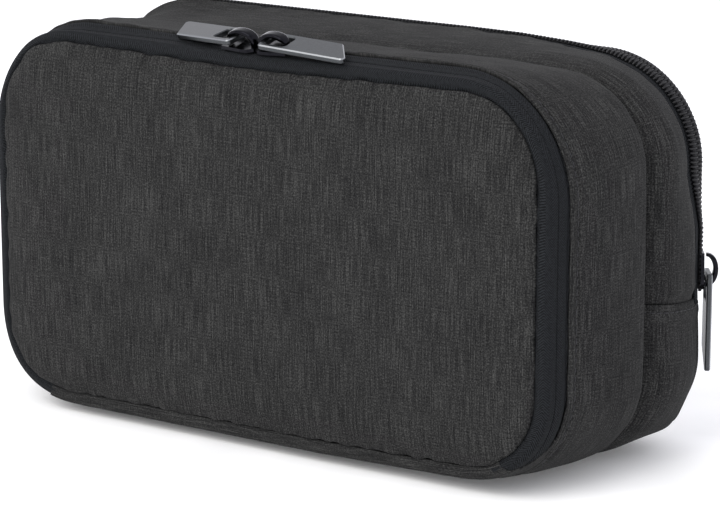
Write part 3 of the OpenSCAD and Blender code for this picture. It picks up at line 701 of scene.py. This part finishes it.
# %% Front zip tapes
TILT = np.radians(14)
CHAIN, FLAT = 4.8, 8.0                              # down the band: to the chain, and to its bend
front_start = np.array([0.0, -32.5])
slope = np.array([np.sin(TILT), -np.cos(TILT)])     # [inset, y] down the band
front_centre = front_start + CHAIN * slope
front_bend = front_start + FLAT * slope
front_end = np.array([6.6, -41.1])
ZIP_END = 54 / 90                                   # share of each lower corner that the zip goes round
ZIP_RIGHT, ZIP_LEFT = -1 - ZIP_END, 4 + ZIP_END
TAPE_T, SLIT = 0.8, 0.12


def soft_line(points, spacing=0.35, blur=0.8):
    """A line of points resampled at an even spacing, with its bends rounded by a Gaussian of blur mm."""
    points = np.asarray(points, float)
    at = lengths_along(points)
    s = np.linspace(0, at[-1], max(3, int(at[-1] / spacing) + 1))
    w = hump(s[:, None], s[None, :], blur)
    w[[0, -1]] = 0
    w[0, 0] = w[-1, -1] = 1
    return (w / w.sum(1, keepdims=True)) @ sampled(points, at, s)


def front_band(line, t):
    """A profile carried between the front seam and the lid's edge: its inset is the share of the way."""
    line = np.asarray(line, float)
    share = line[:, :1] / front_end[0]
    return strip_points((1 - share) * FRONT_SEAM + share * LID, line[:, 1], t)


def tape(name, points, body, *nodes):
    """A zip tape over a grid of points."""
    dress(piece_from_grid(name, points, cloth_uv(points), tape_cloth, TAPE_T), body, "zip_tape", *nodes)


# The tapes go on a little under the strip of cloth on which the lid hinges.
zip_steps = steps_between(ZIP_RIGHT - 0.12, ZIP_LEFT + 0.27, TAPE_MM)
body_line = [front_centre - SLIT / 2 * slope + [0.25, 0], front_centre - 0.5 * slope,
             front_start + 1.3 * slope, front_start + 0.3 * slope + [0.5, 0], front_start + [1.0, 0.5]]
lid_line = [front_end + [0.5, 0.9], front_end + [-0.5, 0.35], front_end + [-1.5, -0.35],
            front_bend, front_centre + 0.5 * slope, front_centre + SLIT / 2 * slope + [0.25, 0]]
tape("front_tape_body", front_band(soft_line(body_line), zip_steps), "pouch", "front_tape")
tape("front_tape_lid", front_band(soft_line(lid_line), zip_steps), "lid", "lid_tape")

# %% [markdown]
# The lid hinges on a strip of shell cloth along the bottom, which covers the ends of the zip. Its rows have
# ends of their own: at the seam it reaches further up its right corner than its left one.

# %% Hinge strip
STRIP_T = 1.0
strip_line = soft_line([front_end + [-0.1, 0.3], front_end + [-0.9, -0.25], front_bend + [-0.5, -0.3],
                        front_start + [-0.35, 0.6]])
share = np.linspace(0, 1, len(strip_line))[:, None]
left_end = ZIP_LEFT + 0.19 - 0.18 * share ** 2.2
right_end = 8 + ZIP_RIGHT - 0.04 + 0.36 * share ** 2.2
strip_t = left_end + (right_end - left_end) * np.linspace(0, 1, 230)[None, :]
strip_p = np.concatenate([front_band([place], t) for place, t in zip(strip_line, strip_t)], 0)
along, down = spread(strip_p)
gathers = 0.25 * waves(along, along * 0, 9, 71) * np.exp(-down / 3)
strip_p = rest_on_table(strip_p + outward(strip_p) * gathers[..., None])
hinge_strip = piece_from_grid("hinge_strip_cloth", strip_p, cloth_uv(strip_p), shell_cloth, STRIP_T)
dress(hinge_strip, "pouch", "melange_fabric", "hinge_strip")
cut_flat(hinge_strip, strip_p, "stretched", "front_gusset", width=lengths_along(strip_line)[-1])

# %% [markdown]
# The back zip shows its coil. Its gusset-side tape stays with the pouch, and its panel-side tape stays
# where it was built, like the back. The tapes are carried along the same shoulder as the lower gusset, so the
# edge runs on.

# %% Back zip tapes
REAR_CHAIN = (2.637, 39.316)      # [inset, y] of the chain in the frame
PANEL_TUCK = (9.3, 44.4)          # where the panel-side tape goes in under the panel


def rear_band(line, t):
    """A profile carried along the back zip's seam."""
    return carried(line, REAR_SEAM, t)


shoulder_line = bent(SHOULDER, 60)
chain_at = int(np.argmin(np.linalg.norm(shoulder_line - REAR_CHAIN, axis=1)))
rear_centre = shoulder_line[chain_at]
rear_slope = unit(shoulder_line[chain_at + 1] - shoulder_line[chain_at - 1])
print("back chain at", rear_centre.round(2), "slope", rear_slope.round(3))
rear_zip_steps = steps_between(seam_right - 0.03, seam_left + 0.03, TAPE_MM)
gusset_side = soft_line(shoulder_line[:chain_at + 1])
panel_side = soft_line(np.concatenate([shoulder_line[chain_at:], [PANEL_TUCK]]))
tape("rear_tape_gusset_side", rear_band(gusset_side, rear_zip_steps), "pouch", "rear_tape")
tape("rear_tape_panel_side", rear_band(panel_side, rear_zip_steps), FOLD, "rear_tape_lower", "flap_tape")

# %% [markdown]
# A zip coil is one nylon thread wound into a flat spiral. Seen from outside, each turn is a short arched
# bar with a thick head at the middle, where it locks between two bars of the other half. One bar is
# modelled and repeated along each half of the chain, half a pitch apart. So are the stitches of seams.

# %% Repeated small shapes
PITCH = 1.4           # between two bars of one half
BESIDE = 2.2          # how far beside the chain its tilt is measured
# Each bar starts at the tape, arches over, and ends in a head just past the middle line.
BAR = np.array([(0.22, 2.75, 0.1), (0.18, 2.65, 0.75), (0.1, 1.9, 1.15), (0.0, 0.9, 1.2),
                (-0.05, 0.0, 1.1), (-0.05, -0.5, 0.75)])
BAR_R = [0.3, 0.38, 0.38, 0.4, 0.46, 0.28]
COIL_CORD_IN, COIL_CORD_R = 1.5, 0.55


def tube_faces(rings, sides, start=0):
    """Walls between the rings of a tube and its two end caps, with points counted from a start."""
    i, k = np.meshgrid(np.arange(rings - 1), np.arange(sides), indexing="ij")
    a, b = start + i * sides + k, start + i * sides + (k + 1) % sides
    walls = np.stack([a, b, b + sides, a + sides], -1).reshape(-1, 4).tolist()
    last = start + (rings - 1) * sides
    return walls + [list(range(start, start + sides))[::-1], list(range(last, last + sides))]


def tube_template(path, radii, sides):
    """A closed tube through path points [along, across, up]: path + r (cos(w) side + sin(w) up)."""
    path = np.asarray(path, float)
    d = unit(np.gradient(path, axis=0))
    side = unit(np.cross(d, [0.0, 0.0, 1.0]))
    up = np.cross(side, d)
    w = (2 * np.pi * np.arange(sides) / sides)[:, None]
    rings = np.cos(w) * side[:, None] + np.sin(w) * up[:, None]
    rings = path[:, None] + np.asarray(radii, float)[:, None, None] * rings
    return rings.reshape(-1, 3), tube_faces(len(path), sides)


def repeated(name, template, centres, along, up, finish):
    """Copies of a template: centre + x along + y across + z up, with across = up x along."""
    shape, faces = template
    across = np.cross(up, along)
    p = centres[:, None] + shape[None, :, :1] * along[:, None] + shape[None, :, 1:2] * across[:, None]
    p = p + shape[None, :, 2:] * up[:, None]
    every = [[v + i * len(shape) for v in f] for i in range(len(centres)) for f in faces]
    return new_piece(name, p.reshape(-1, 3), every, finish)


def along_chain(band, place, slope, t_range, phase):
    """Places a pitch apart along a band at [inset, y]: centres, directions along the chain and outwards."""
    fine = steps_between(*t_range, 0.4)
    line = band([place], fine)[0]
    at = lengths_along(line)
    where = np.arange(PITCH * (0.5 + phase), at[-1] - 0.4 * PITCH, PITCH)
    centres = sampled(line, at, where)
    run = unit(np.gradient(centres, axis=0))
    # Two points of the band beside the chain give the direction square to it, also where it twists.
    edges = band([place - BESIDE * slope, place + BESIDE * slope], np.interp(where, at, fine))
    return centres, run, unit(np.cross(edges[1] - edges[0], run) * np.sign(slope[1]))


def bar_template(side, flip=1):
    """One bar of the coil, on the side of the chain that is +1 or -1 across; flip -1 hangs it inwards."""
    return tube_template(BAR * [1, side, flip], BAR_R, 6)


def coil_cord(name, band, place, slope, t_range, side):
    """The filler cord inside the turns of one half: a round profile carried along the chain."""
    t = steps_between(*t_range, TAPE_MM)
    up = np.array([-abs(slope[1]), slope[0] * np.sign(slope[1])])
    w = np.linspace(0, 2 * np.pi, 9)
    middle = place - COIL_CORD_IN * side * slope + COIL_CORD_R * up
    p = band(middle + COIL_CORD_R * (np.outer(np.cos(w), slope) + np.outer(np.sin(w), up)), t)
    p = p if (outward(p) * (p - p[:-1].mean(0))).sum() > 0 else p[::-1]
    return piece_from_grid(name, p, cloth_uv(p), thread)


print("one bar of the coil has", len(bar_template(1)[1]), "faces")

# %% [markdown]
# The back coil lies open, so its bars and the filler cord inside them both show. Its panel half goes with
# the fold, like the tape that it is sewn on. The front coil is the same bar hung under the covering tapes.

# %% Back and front coils
rear_chain = (rear_band, rear_centre, rear_slope, (seam_right + 0.02, seam_left - 0.02))
# Across points from the panel to the gusset here, because up x along turns that way.
for name, side, phase, body, nodes in (
        ("rear_coil_gusset_side", 1, 0.0, "pouch", ["rear_coil"]),
        ("rear_coil_panel_side", -1, 0.5, FOLD, ["rear_coil_lower", "flap_coil"])):
    chain = along_chain(*rear_chain, phase)
    dress(repeated(name, bar_template(side), *chain, coil_nylon), body, "coil_nylon", *nodes)
    dress(coil_cord(name + "_cord", *rear_chain, side), body, "coil_nylon")
print(len(chain[0]), "bars on each half of the back coil")

under = front_centre + np.array([np.cos(TILT), np.sin(TILT)]) * (TAPE_T + 0.1)
front_chain = (front_band, under, slope, (ZIP_RIGHT + 0.05, ZIP_LEFT - 0.05))
for name, side, phase, body, node in (("front_coil_body", -1, 0.0, "pouch", "front_coil"),
                                      ("front_coil_lid", 1, 0.5, "lid", "lid_coil")):
    chain = along_chain(*front_chain, phase)
    dress(repeated(name, bar_template(side, -1), *chain, coil_nylon), body, "coil_nylon", node)

# %% [markdown]
# Stitches hold the edges: a row on the fold beside the front zip, and one under each side seam. Each stitch
# is a short rounded bit of thread that lies in the cloth, and a row is one piece.

# %% Stitch rows
STITCH = tube_template([(-1.1, 0, -0.12), (-0.8, 0, 0.1), (0, 0, 0.18), (0.8, 0, 0.1), (1.1, 0, -0.12)],
                       [0.1, 0.2, 0.22, 0.2, 0.1], 5)


def stitch_row(name, line, normals, body, pitch):
    """Stitches at an even pitch along a line of points, lying along it and standing on its normals."""
    at = lengths_along(line)
    where = np.arange(pitch / 2, at[-1], pitch)
    centres = sampled(line, at, where)
    run = unit(np.gradient(centres, axis=0))
    up = sampled(normals, at, where)
    up = unit(up - run * (up * run).sum(1, keepdims=True))
    dress(repeated(name, STITCH, centres, run, up, thread), body, "elastic_webbing")


def nearest(lengths, distance):
    """Number of the row or column that lies nearest to a distance."""
    return int(np.argmin(np.abs(lengths - distance)))


i = nearest(run_lengths(front_gusset_points, 0), 2.5)
stitch_row("stitches_front_gusset", front_gusset_points[i], outward(front_gusset_points)[i], "pouch", 3.0)
along = run_lengths(rear_lower_points, 1)
for side, lengths in (("right", along[-1] - along), ("left", along)):
    i = nearest(lengths, 2.4)
    line, normals = rear_lower_points[2:-1, i], outward(rear_lower_points)[2:-1, i]
    stitch_row(f"stitches_side_seam_{side}", line, normals, "pouch", 2.6)

# %% [markdown]
# Sliders, hooks and pullers are the hard parts that catch the light. A slider is built in its own frame: x
# towards its tail, z out of the tape, origin on the chain. So one puller and one hook serve for all three.

# %% Frames of the three sliders
REAR_TILT = np.radians(34)
# Cosine and sine of the front chain's tilt and of the rear chain's.
FC, FS, RC, RS = np.cos(TILT), np.sin(TILT), np.cos(REAR_TILT), np.sin(REAR_TILT)
CHAIN_Y, CHAIN_Z = front_start[1] - CHAIN * FC, FRONT_SEAM[2] - CHAIN * FS
PLACES = {      # origin, and the three axes
    "left": ([-4.7, CHAIN_Y, CHAIN_Z], [[-1, 0, 0], [0, -FC, -FS], [0, -FS, FC]]),
    "right": ([7.5, CHAIN_Y, CHAIN_Z], [[1, 0, 0], [0, FC, FS], [0, -FS, FC]]),
    "rear": ([113.363, REAR_CHAIN[1], 58.8], [[0, 0, 1], [RS, -RC, 0], [RC, RS, 0]]),
}
LIFT = {"left": 0.8, "right": 0.8, "rear": 2.4}      # from the chain to the slider's upper plate
SLIDER_T = 1.1


def placed(p, side):
    """Points of a slider's own frame in the pouch's frame: origin + p . axes."""
    origin, axes = PLACES[side]
    return np.array(origin) + p @ np.array(axes)


def node_of(kind, side):
    """Name of the frame's node for a part of one slider."""
    return f"rear_{kind}" if side == "rear" else f"front_{kind}_{side}"


def rounded_loop(corners, radius, inward=0.0, count=7):
    """A convex loop with rounded corners, moved inwards: an arc of count points at each corner."""
    corners = np.asarray(corners, float)
    before = unit(np.roll(corners, 1, 0) - corners)
    after = unit(np.roll(corners, -1, 0) - corners)
    half = np.arccos(np.clip((before * after).sum(1), -1, 1)) / 2
    middle = unit(before + after)
    centre = corners + middle * (radius / np.sin(half))[:, None]
    n1 = np.stack([before[:, 1], -before[:, 0]], 1)
    n2 = np.stack([-after[:, 1], after[:, 0]], 1)
    n1 *= -np.sign((n1 * middle).sum(1))[:, None]
    n2 *= -np.sign((n2 * middle).sum(1))[:, None]
    f = np.linspace(0, 1, count)[None, :, None]
    arc = unit(n1[:, None] * (1 - f) + n2[:, None] * f)
    return (centre[:, None] + max(radius - inward, 0.02) * arc).reshape(-1, 2)


for side in PLACES:
    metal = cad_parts[node_of("slider", side)].data.materials
    metal.clear()
    metal.append(black_nickel)
print("sliders at", ", ".join(PLACES))

# %% [markdown]
# A puller is a plate with one hole, so it is a ring: a profile that goes round the outer edge, over the
# face, down the slot and back under. Cutting the hole with a boolean would leave long thin faces.

# %% Pullers
PULLER_L, PULLER_W, PULLER_T, SLANT, BAR_W = 32.0, 10.4, 1.8, 7.5, 1.8
SLOT_L, SLOT_W, BEVEL, EASED = 7.5, 6.8, 0.35, 0.08
PLATE_R, SLOT_R = 1.3, 1.2                        # radii of the corners
SLOT_EDGE, EASED_AT, WALL_AT = 0.3, 0.27, 0.38    # how far from a face the slot's, eased and outer rows lie
BAR_END, WIDE, NARROW = BAR_W / 2, PULLER_W / 2, SLOT_W / 2
PLATE = [(-BAR_END, -WIDE), (PULLER_L, -WIDE), (PULLER_L - SLANT, WIDE), (-BAR_END, WIDE)]
SLOT = [(BAR_END, -NARROW), (BAR_END + SLOT_L, -NARROW), (BAR_END + SLOT_L, NARROW), (BAR_END, NARROW)]
BEVEL_ROWS = (3, 4, 6, 7)    # the faces between the wall and the flat, below and above
# Of each puller: x of its bar, dip and swing in degrees, and height of its bar over the slider.
PULLERS = {"left": (1.6, 6, -14, 1.8), "right": (-2.4, 3, 0, 1.7), "rear": (-1.6, 0, 180, 1.7)}


def puller_shape():
    """Rows from the slot's lower edge out under the plate, up round it, over its face and down the slot."""
    wall, eased, bevel = (rounded_loop(PLATE, PLATE_R, d, 9) for d in (0.0, EASED, BEVEL))
    slot, rim = (rounded_loop(SLOT, SLOT_R, d, 9) for d in (0.0, -SLOT_EDGE))
    face = 0.7 * bevel + 0.3 * rim
    h = PULLER_T / 2
    rows = [(slot, -h + SLOT_EDGE), (rim, -h), (face, -h), (bevel, -h), (eased, -h + EASED_AT),
            (wall, -h + WALL_AT), (wall, h - WALL_AT), (eased, h - EASED_AT), (bevel, h), (face, h), (rim, h),
            (slot, h - SLOT_EDGE), (slot, -h + SLOT_EDGE)]
    p = np.stack([np.column_stack([loop, np.full(len(loop), z)]) for loop, z in rows])
    return np.concatenate([p, p[:, :1]], 1)


def turned(p, dip, swing):
    """Turns points by dip degrees about y, then by swing degrees about z."""
    a, b = np.radians(dip), np.radians(swing)
    about_y = np.array([[np.cos(a), 0, np.sin(a)], [0, 1, 0], [-np.sin(a), 0, np.cos(a)]])
    about_z = np.array([[np.cos(b), -np.sin(b), 0], [np.sin(b), np.cos(b), 0], [0, 0, 1]])
    return p @ (about_z @ about_y).T


for side, (bar_x, dip, swing, bar_z) in PULLERS.items():
    local = turned(puller_shape(), dip, swing) + [bar_x, 0, LIFT[side] + SLIDER_T + bar_z]
    points = placed(local, side)
    piece = piece_from_grid(f"{side}_puller_plate", points, local[..., :2], gunmetal, smooth=False)
    row = np.arange(len(piece.data.polygons)) // (points.shape[1] - 1)
    # The bevel rows are marked for the painted highlight along the puller's edges.
    painted_highlight = piece.data.attributes.new("painted_highlight", "FLOAT", "FACE")
    painted_highlight.data.foreach_set("value", np.isin(row, BEVEL_ROWS).astype(np.float32))
    dress(piece, f"{side}_puller", "gunmetal", node_of("puller", side))

# %% [markdown]
# A hook is a rounded strip carried along a bent line, from the slider's nose over the puller's bar and down
# to a free end that is a little narrower.

# %% Hooks
HOOK_W, HOOK_T, HOOK_R, HOOK_RUN, HOOK_RISE = 3.4, 1.6, 3.9, 1.6, 0.9
TIP, TIP_ROWS = 0.62, 9      # share of the width that is left at the free end, and how many rows narrow


def hook_shape():
    """A rounded strip along a line: up from the slider's nose, over the top and down to the free end."""
    r = HOOK_R - HOOK_T / 2
    arc = np.linspace(np.pi, 0, 33)
    over = np.stack([(HOOK_RUN + r) * np.cos(arc), HOOK_RISE + r * np.sin(arc) ** 0.9], 1)
    line = np.concatenate([[(-HOOK_RUN - r, -0.3)], over])
    d = unit(np.gradient(line, axis=0))
    n = np.stack([-d[:, 1], d[:, 0]], 1)
    taper = np.interp(np.arange(len(line)), [0, len(line) - TIP_ROWS, len(line) - 1], [1, 1, TIP])
    section = rounded_loop([(-1, -1), (1, -1), (1, 1), (-1, 1)], 0.45, 0, 4)
    section = np.concatenate([section, section[:1]])
    y = section[:, 0] * HOOK_W / 2 * taper[:, None]
    x = line[:, :1] + n[:, :1] * section[:, 1] * HOOK_T / 2 * taper[:, None]
    z = line[:, 1:] + n[:, 1:] * section[:, 1] * HOOK_T / 2 * taper[:, None]
    p = np.stack([x, y, z], -1)
    ends = [np.broadcast_to(p[i].mean(0), p[i].shape) for i in (0, -1)]
    return np.concatenate([ends[:1], p, ends[1:]], 0)


for side in PLACES:
    local = hook_shape() + [0, 0, LIFT[side] + SLIDER_T]
    piece = piece_from_grid(f"{side}_slider_hook", placed(local, side), local[..., :2], black_nickel)
    dress(piece, f"{side}_slider", "black_nickel", node_of("hook", side))

# %% [markdown]
# Inside, a grey lining covers both gussets, and a padded divider closes the waist. The flat pieces are
# pillows: rows go from the middle line of the front face over the edge to the middle line of the back face.
# A single sheet of lining is the front half of a thin pillow.

# %% Linings and the divider
LINING_T, LINING_IN = 0.4, 3.0
LINING_ROWS = 17      # rows of a pillow's front face, from its middle line to its edge
LINING = (lining_cloth, "lining_fabric", LINING_T)


def pillow(outline, y1, y2, puff=0.0):
    """A flat pad between two depths with rounded edges, raised by up to puff towards its middle line."""
    half = (y2 - y1) / 2
    d = np.array([0.0, 0.3, 1.0, 2.5]) * min(1.0, 2 * half)
    h = half * np.array([0.0, 0.65, 0.95, 1.0])
    side, f = to_spine(strip_points(inset(outline, d), h, COARSE), outline, 14, COARSE)
    lift = side[..., 1] + puff * np.concatenate([d * 0, f])[:, None]
    front, back = side[::-1].copy(), side[1:].copy()
    front[..., 1] = (y1 + y2) / 2 - lift[::-1]
    back[..., 1] = (y1 + y2) / 2 + lift[1:]
    return np.concatenate([front, back], 0)


def lining(node, o1, y1, o2, y2, swell, seed, waist_last):
    """The gusset's shape again, further in, with looser folds."""
    p = gusset(inset(o1, LINING_IN), y1, inset(o2, LINING_IN), y2, swell, 30, COARSE, seed, waist_last)
    sewn_strip(node + "_cloth", p, node, *LINING)


def flat_lining(name, outline, y, way, body, rests_on, *nodes):
    """One sheet of lining in an outline, turned to face -y or +y."""
    p = pillow(outline, y - 0.3, y + 0.3)[:LINING_ROWS]
    if way > 0:
        p[..., 1] = 2 * y - p[..., 1]
        p = p[::-1]
    piece = piece_from_grid(name, p, face_uv(p), lining_cloth, LINING_T)
    dress(piece, body, "lining_fabric", *nodes)


lining("front_gusset_lining", FRONT_SEAM, -31.8, WAIST, 3.6, FRONT_SWELL, 81, True)
lining("rear_gusset_lining", WAIST, 6.4, REAR_SEAM, 33.2, REAR_SWELL, 91, False)
p = pillow(inset(WAIST, 4.6), 4.0, 6.0, 0.2)
divider = piece_from_grid("divider_pad", p, face_uv(p), lining_cloth)
dress(divider, "pouch", "lining_fabric", "divider_panel")

# %% [markdown]
# The organizer panel on the divider carries two elastic bands sewn into loops. Each band is one long sheet
# that bows out between its bar tacks, which are dense ladders of short stitches across it.

# %% Organizer panel and elastic loops
ORGANIZER = [85.0, 21.0, 105.0, 4.0, 4.0, 0.0]
LOOPS, LOOP_GAP, LOOP_RISE = 6, 26.5, 2.2
BAND_Y, BAND_T = 2.4, 0.7
TACK_IN, TACK_STEP, TACK_UP = 1.2, 0.9, 0.25      # from the band's ends, between stitches, over the band
flat_lining("organizer_panel_cloth", ORGANIZER, 3.6, -1, "pouch", "divider_panel", "organizer_panel")


def loop_band(name, low, high, node):
    """An elastic band sewn down at bar tacks; between two it rises by LOOP_RISE |sin(pi x / gap)| ** 0.8."""
    reach = LOOPS * LOOP_GAP / 2
    x, z = np.meshgrid(np.linspace(-reach, reach, 181), np.linspace(high, low, 9))
    rise = LOOP_RISE * np.abs(np.sin(np.pi * (x + reach) / LOOP_GAP)) ** 0.8
    p = np.stack([x, BAND_Y - rise, z], -1)
    band = piece_from_grid(name, p, np.stack([z, x], -1), elastic, BAND_T)
    dress(band, "pouch", "elastic_webbing", node)
    cut_flat(band, p, "gathered", "organizer_panel")
    tacks = np.linspace(-reach + TACK_IN, reach - TACK_IN, LOOPS + 1)
    x, z = (a.ravel() for a in np.meshgrid(tacks, np.arange(low + 1, high - 0.5, TACK_STEP)))
    centres = np.stack([x, np.full(x.size, BAND_Y - TACK_UP), z], 1)
    run, up = np.tile([1.0, 0.0, 0.0], (x.size, 1)), np.tile([0.0, -1.0, 0.0], (x.size, 1))
    dress(repeated(name + "_bar_tacks", STITCH, centres, run, up, thread), "pouch", "elastic_webbing")


loop_band("elastic_loops_upper", 73.0, 95.0, "elastic_band_upper")
loop_band("elastic_loops_lower", 31.0, 53.0, "elastic_band_lower")

# %% [markdown]
# The other flat sheets are a slip pocket behind the divider and the linings of the lid and of the back. The
# raw edges at the waist are bound with a folded tape, a rounded profile carried round the waist.

# %% Slip pocket, panel linings and bindings
SLIP_POCKET = [85.0, 21.0, 87.0, 4.0, 4.0, 0.0]
BINDING_IN, BINDING_HALF, BINDING_T = 5.45, 1.95, 0.55
flat_lining("slip_pocket_cloth", SLIP_POCKET, 6.4, 1, "pouch", "divider_panel", "rear_slip_pocket")
flat_lining("lid_lining_cloth", inset(LID, 0.3), -38.1, 1, "lid", "lid_foam", "lid_lining")
flat_lining("back_lining_cloth", inset(BACK, 0.3), 42.0, -1, FOLD, "back_foam", "back_lining", "flap_lining")

for name, y, node in (("front_seam_binding_tape", 3.3, "front_seam_binding"),
                      ("rear_seam_binding_tape", 6.7, "rear_seam_binding")):
    w = np.linspace(0, -2 * np.pi, 17)
    across = BINDING_IN + BINDING_HALF * np.sign(np.cos(w)) * np.abs(np.cos(w)) ** 0.6
    p = carried(np.stack([across, y + BINDING_T * np.sin(w)], 1), WAIST, COARSE)
    dress(piece_from_grid(name, p, cloth_uv(p), elastic), "pouch", "elastic_webbing", node)

# %% [markdown]
# A net pocket hangs on the inside of the lid under an elastic hem. Each cord of the net is a thin tube that
# weaves over and under the crossing cords, so the net is a real one and can be seen through.

# %% Net pocket
NET_W, NET_LOW, NET_TOP, NET_Y = 168.0, 24.0, 98.0, -37.3
CORD_GAP, CORD_R, CORD_WEAVE, CORD_STEEP = 5.2, 0.3, 0.16, 1.6


def net_cords(slant):
    """Slanted cords across the pocket: lines clipped to its sides, with a depth y that weaves."""
    span = (NET_TOP - NET_LOW) / CORD_STEEP
    starts = np.arange(-NET_W / 2 - span, NET_W / 2 + span, CORD_GAP)
    f = np.linspace(0, 1, 49)
    x = starts[:, None] + slant * span * (f[None, :] - 0.5)
    z = NET_LOW + (NET_TOP - NET_LOW) * f[None, :] + 0 * x
    y = NET_Y + slant * CORD_WEAVE * np.cos(2 * np.pi * f * span / CORD_GAP)[None, :] + 0 * x
    return np.stack([np.clip(x, -NET_W / 2, NET_W / 2), y, z], -1)


def net(name):
    """Square tubes of radius CORD_R round every cord that keeps some of its length."""
    w = np.array([0.25, 0.75, 1.25, 1.75]) * np.pi
    ring = np.stack([np.cos(w), np.sin(w), 0 * w], 1) * CORD_R
    points, faces, count = [], [], 0
    for line in np.concatenate([net_cords(1), net_cords(-1)]):
        line = line[np.abs(line[:, 0]) < NET_W / 2 - 1e-6]
        if len(line) > 3:
            points.append((line[:, None] + ring[None]).reshape(-1, 3))
            faces += tube_faces(len(line), len(w), count)
            count += len(points[-1])
    return new_piece(name, np.concatenate(points), faces, thread)


net_pocket = net("net_pocket_cords")
dress(net_pocket, "lid", "net_mesh", "lid_mesh_pocket")
hem_low, hem_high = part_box("lid_pocket_hem")
p = pillow([84.0, hem_low.z / MM, hem_high.z / MM, 1.5, 1.5, 0.0], -37.7, -36.4)
dress(piece_from_grid("net_pocket_hem", p, face_uv(p), elastic), "lid", "elastic_webbing", "lid_pocket_hem")

# %% [markdown]
# The picture has a plain white floor and background and a soft shadow under the pouch. The camera stands
# where the photograph's did: 34 degrees round to the right, 14 degrees up, with a long lens.

# %% Floor, light and camera
FLOOR = 3000.0                                               # half its width, in mm
PAPER_GLOW = 0.07                                            # keeps the paper white in the shadow's rim
SKY_COLOUR, SKY_STRENGTH = (0.98, 0.98, 1.03, 1), 1.25
LAMP_COLOUR = (1.0, 0.99, 0.93)
AZIMUTH, ELEVATION, DISTANCE = np.radians(33.68), np.radians(13.95), 1.0
TARGET = np.array([10.46, 5.0, 55.41]) * MM
SENSOR, FOCAL_PX, PICTURE_PX = 36.0, 3080, 720               # mm; focal length and width in pixels

# White seamless paper, with a faint grain.
paper = speckled("seamless_paper_white", "#f4f4f4", "#ffffff", 40, 0.01, Roughness=0.9,
                 Specular_IOR_Level=0.0, Emission_Color=(1, 1, 1, 1), Emission_Strength=PAPER_GLOW)
fx, fy = np.meshgrid(*[np.linspace(-FLOOR, FLOOR, 3)] * 2, indexing="ij")
floor_points = np.stack([fx, fy, 0 * fx], -1)
floor = piece_from_grid("floor", floor_points, floor_points[..., :2], paper, smooth=False)

world = bpy.data.worlds.new("studio")
bpy.context.scene.world = world
world.use_nodes = True
world.node_tree.nodes["Background"].inputs["Color"].default_value = SKY_COLOUR
world.node_tree.nodes["Background"].inputs["Strength"].default_value = SKY_STRENGTH
# Plain sRGB output, so that the white paper comes out white.
bpy.context.scene.view_settings.view_transform = "Standard"


def turned_to(z):
    """Angles that point an object's own z axis along z and keep its x axis level."""
    z = unit(z)
    return (float(np.arccos(z[2])), 0.0, float(np.arctan2(z[0], -z[1])))


def soft_box(name, place, aim, size, power):
    """A square area light at a place in metres, turned to face a point."""
    lamp = bpy.data.lights.new(name, "AREA")
    lamp.energy = power
    lamp.color = LAMP_COLOUR
    lamp.size = size
    light = bpy.data.objects.new(name, lamp)
    bpy.context.scene.collection.objects.link(light)
    light.location = place
    light.rotation_euler = turned_to(np.subtract(place, aim))


soft_box("key_front", (-0.15, -1.0, 0.85), (0, 0, 0.06), 0.9, 10)

level = np.cos(ELEVATION)
away = np.array([np.sin(AZIMUTH) * level, -np.cos(AZIMUTH) * level, np.sin(ELEVATION)])
lens = bpy.data.cameras.new("camera")
lens.sensor_width = SENSOR
lens.lens = SENSOR * FOCAL_PX / PICTURE_PX
lens.clip_start = 0.05
camera = bpy.data.objects.new("camera", lens)
bpy.context.scene.collection.objects.link(camera)
camera.location = TARGET + away * DISTANCE
camera.rotation_euler = turned_to(away)
bpy.context.scene.camera = camera
print("camera at", np.round(np.array(camera.location), 3))
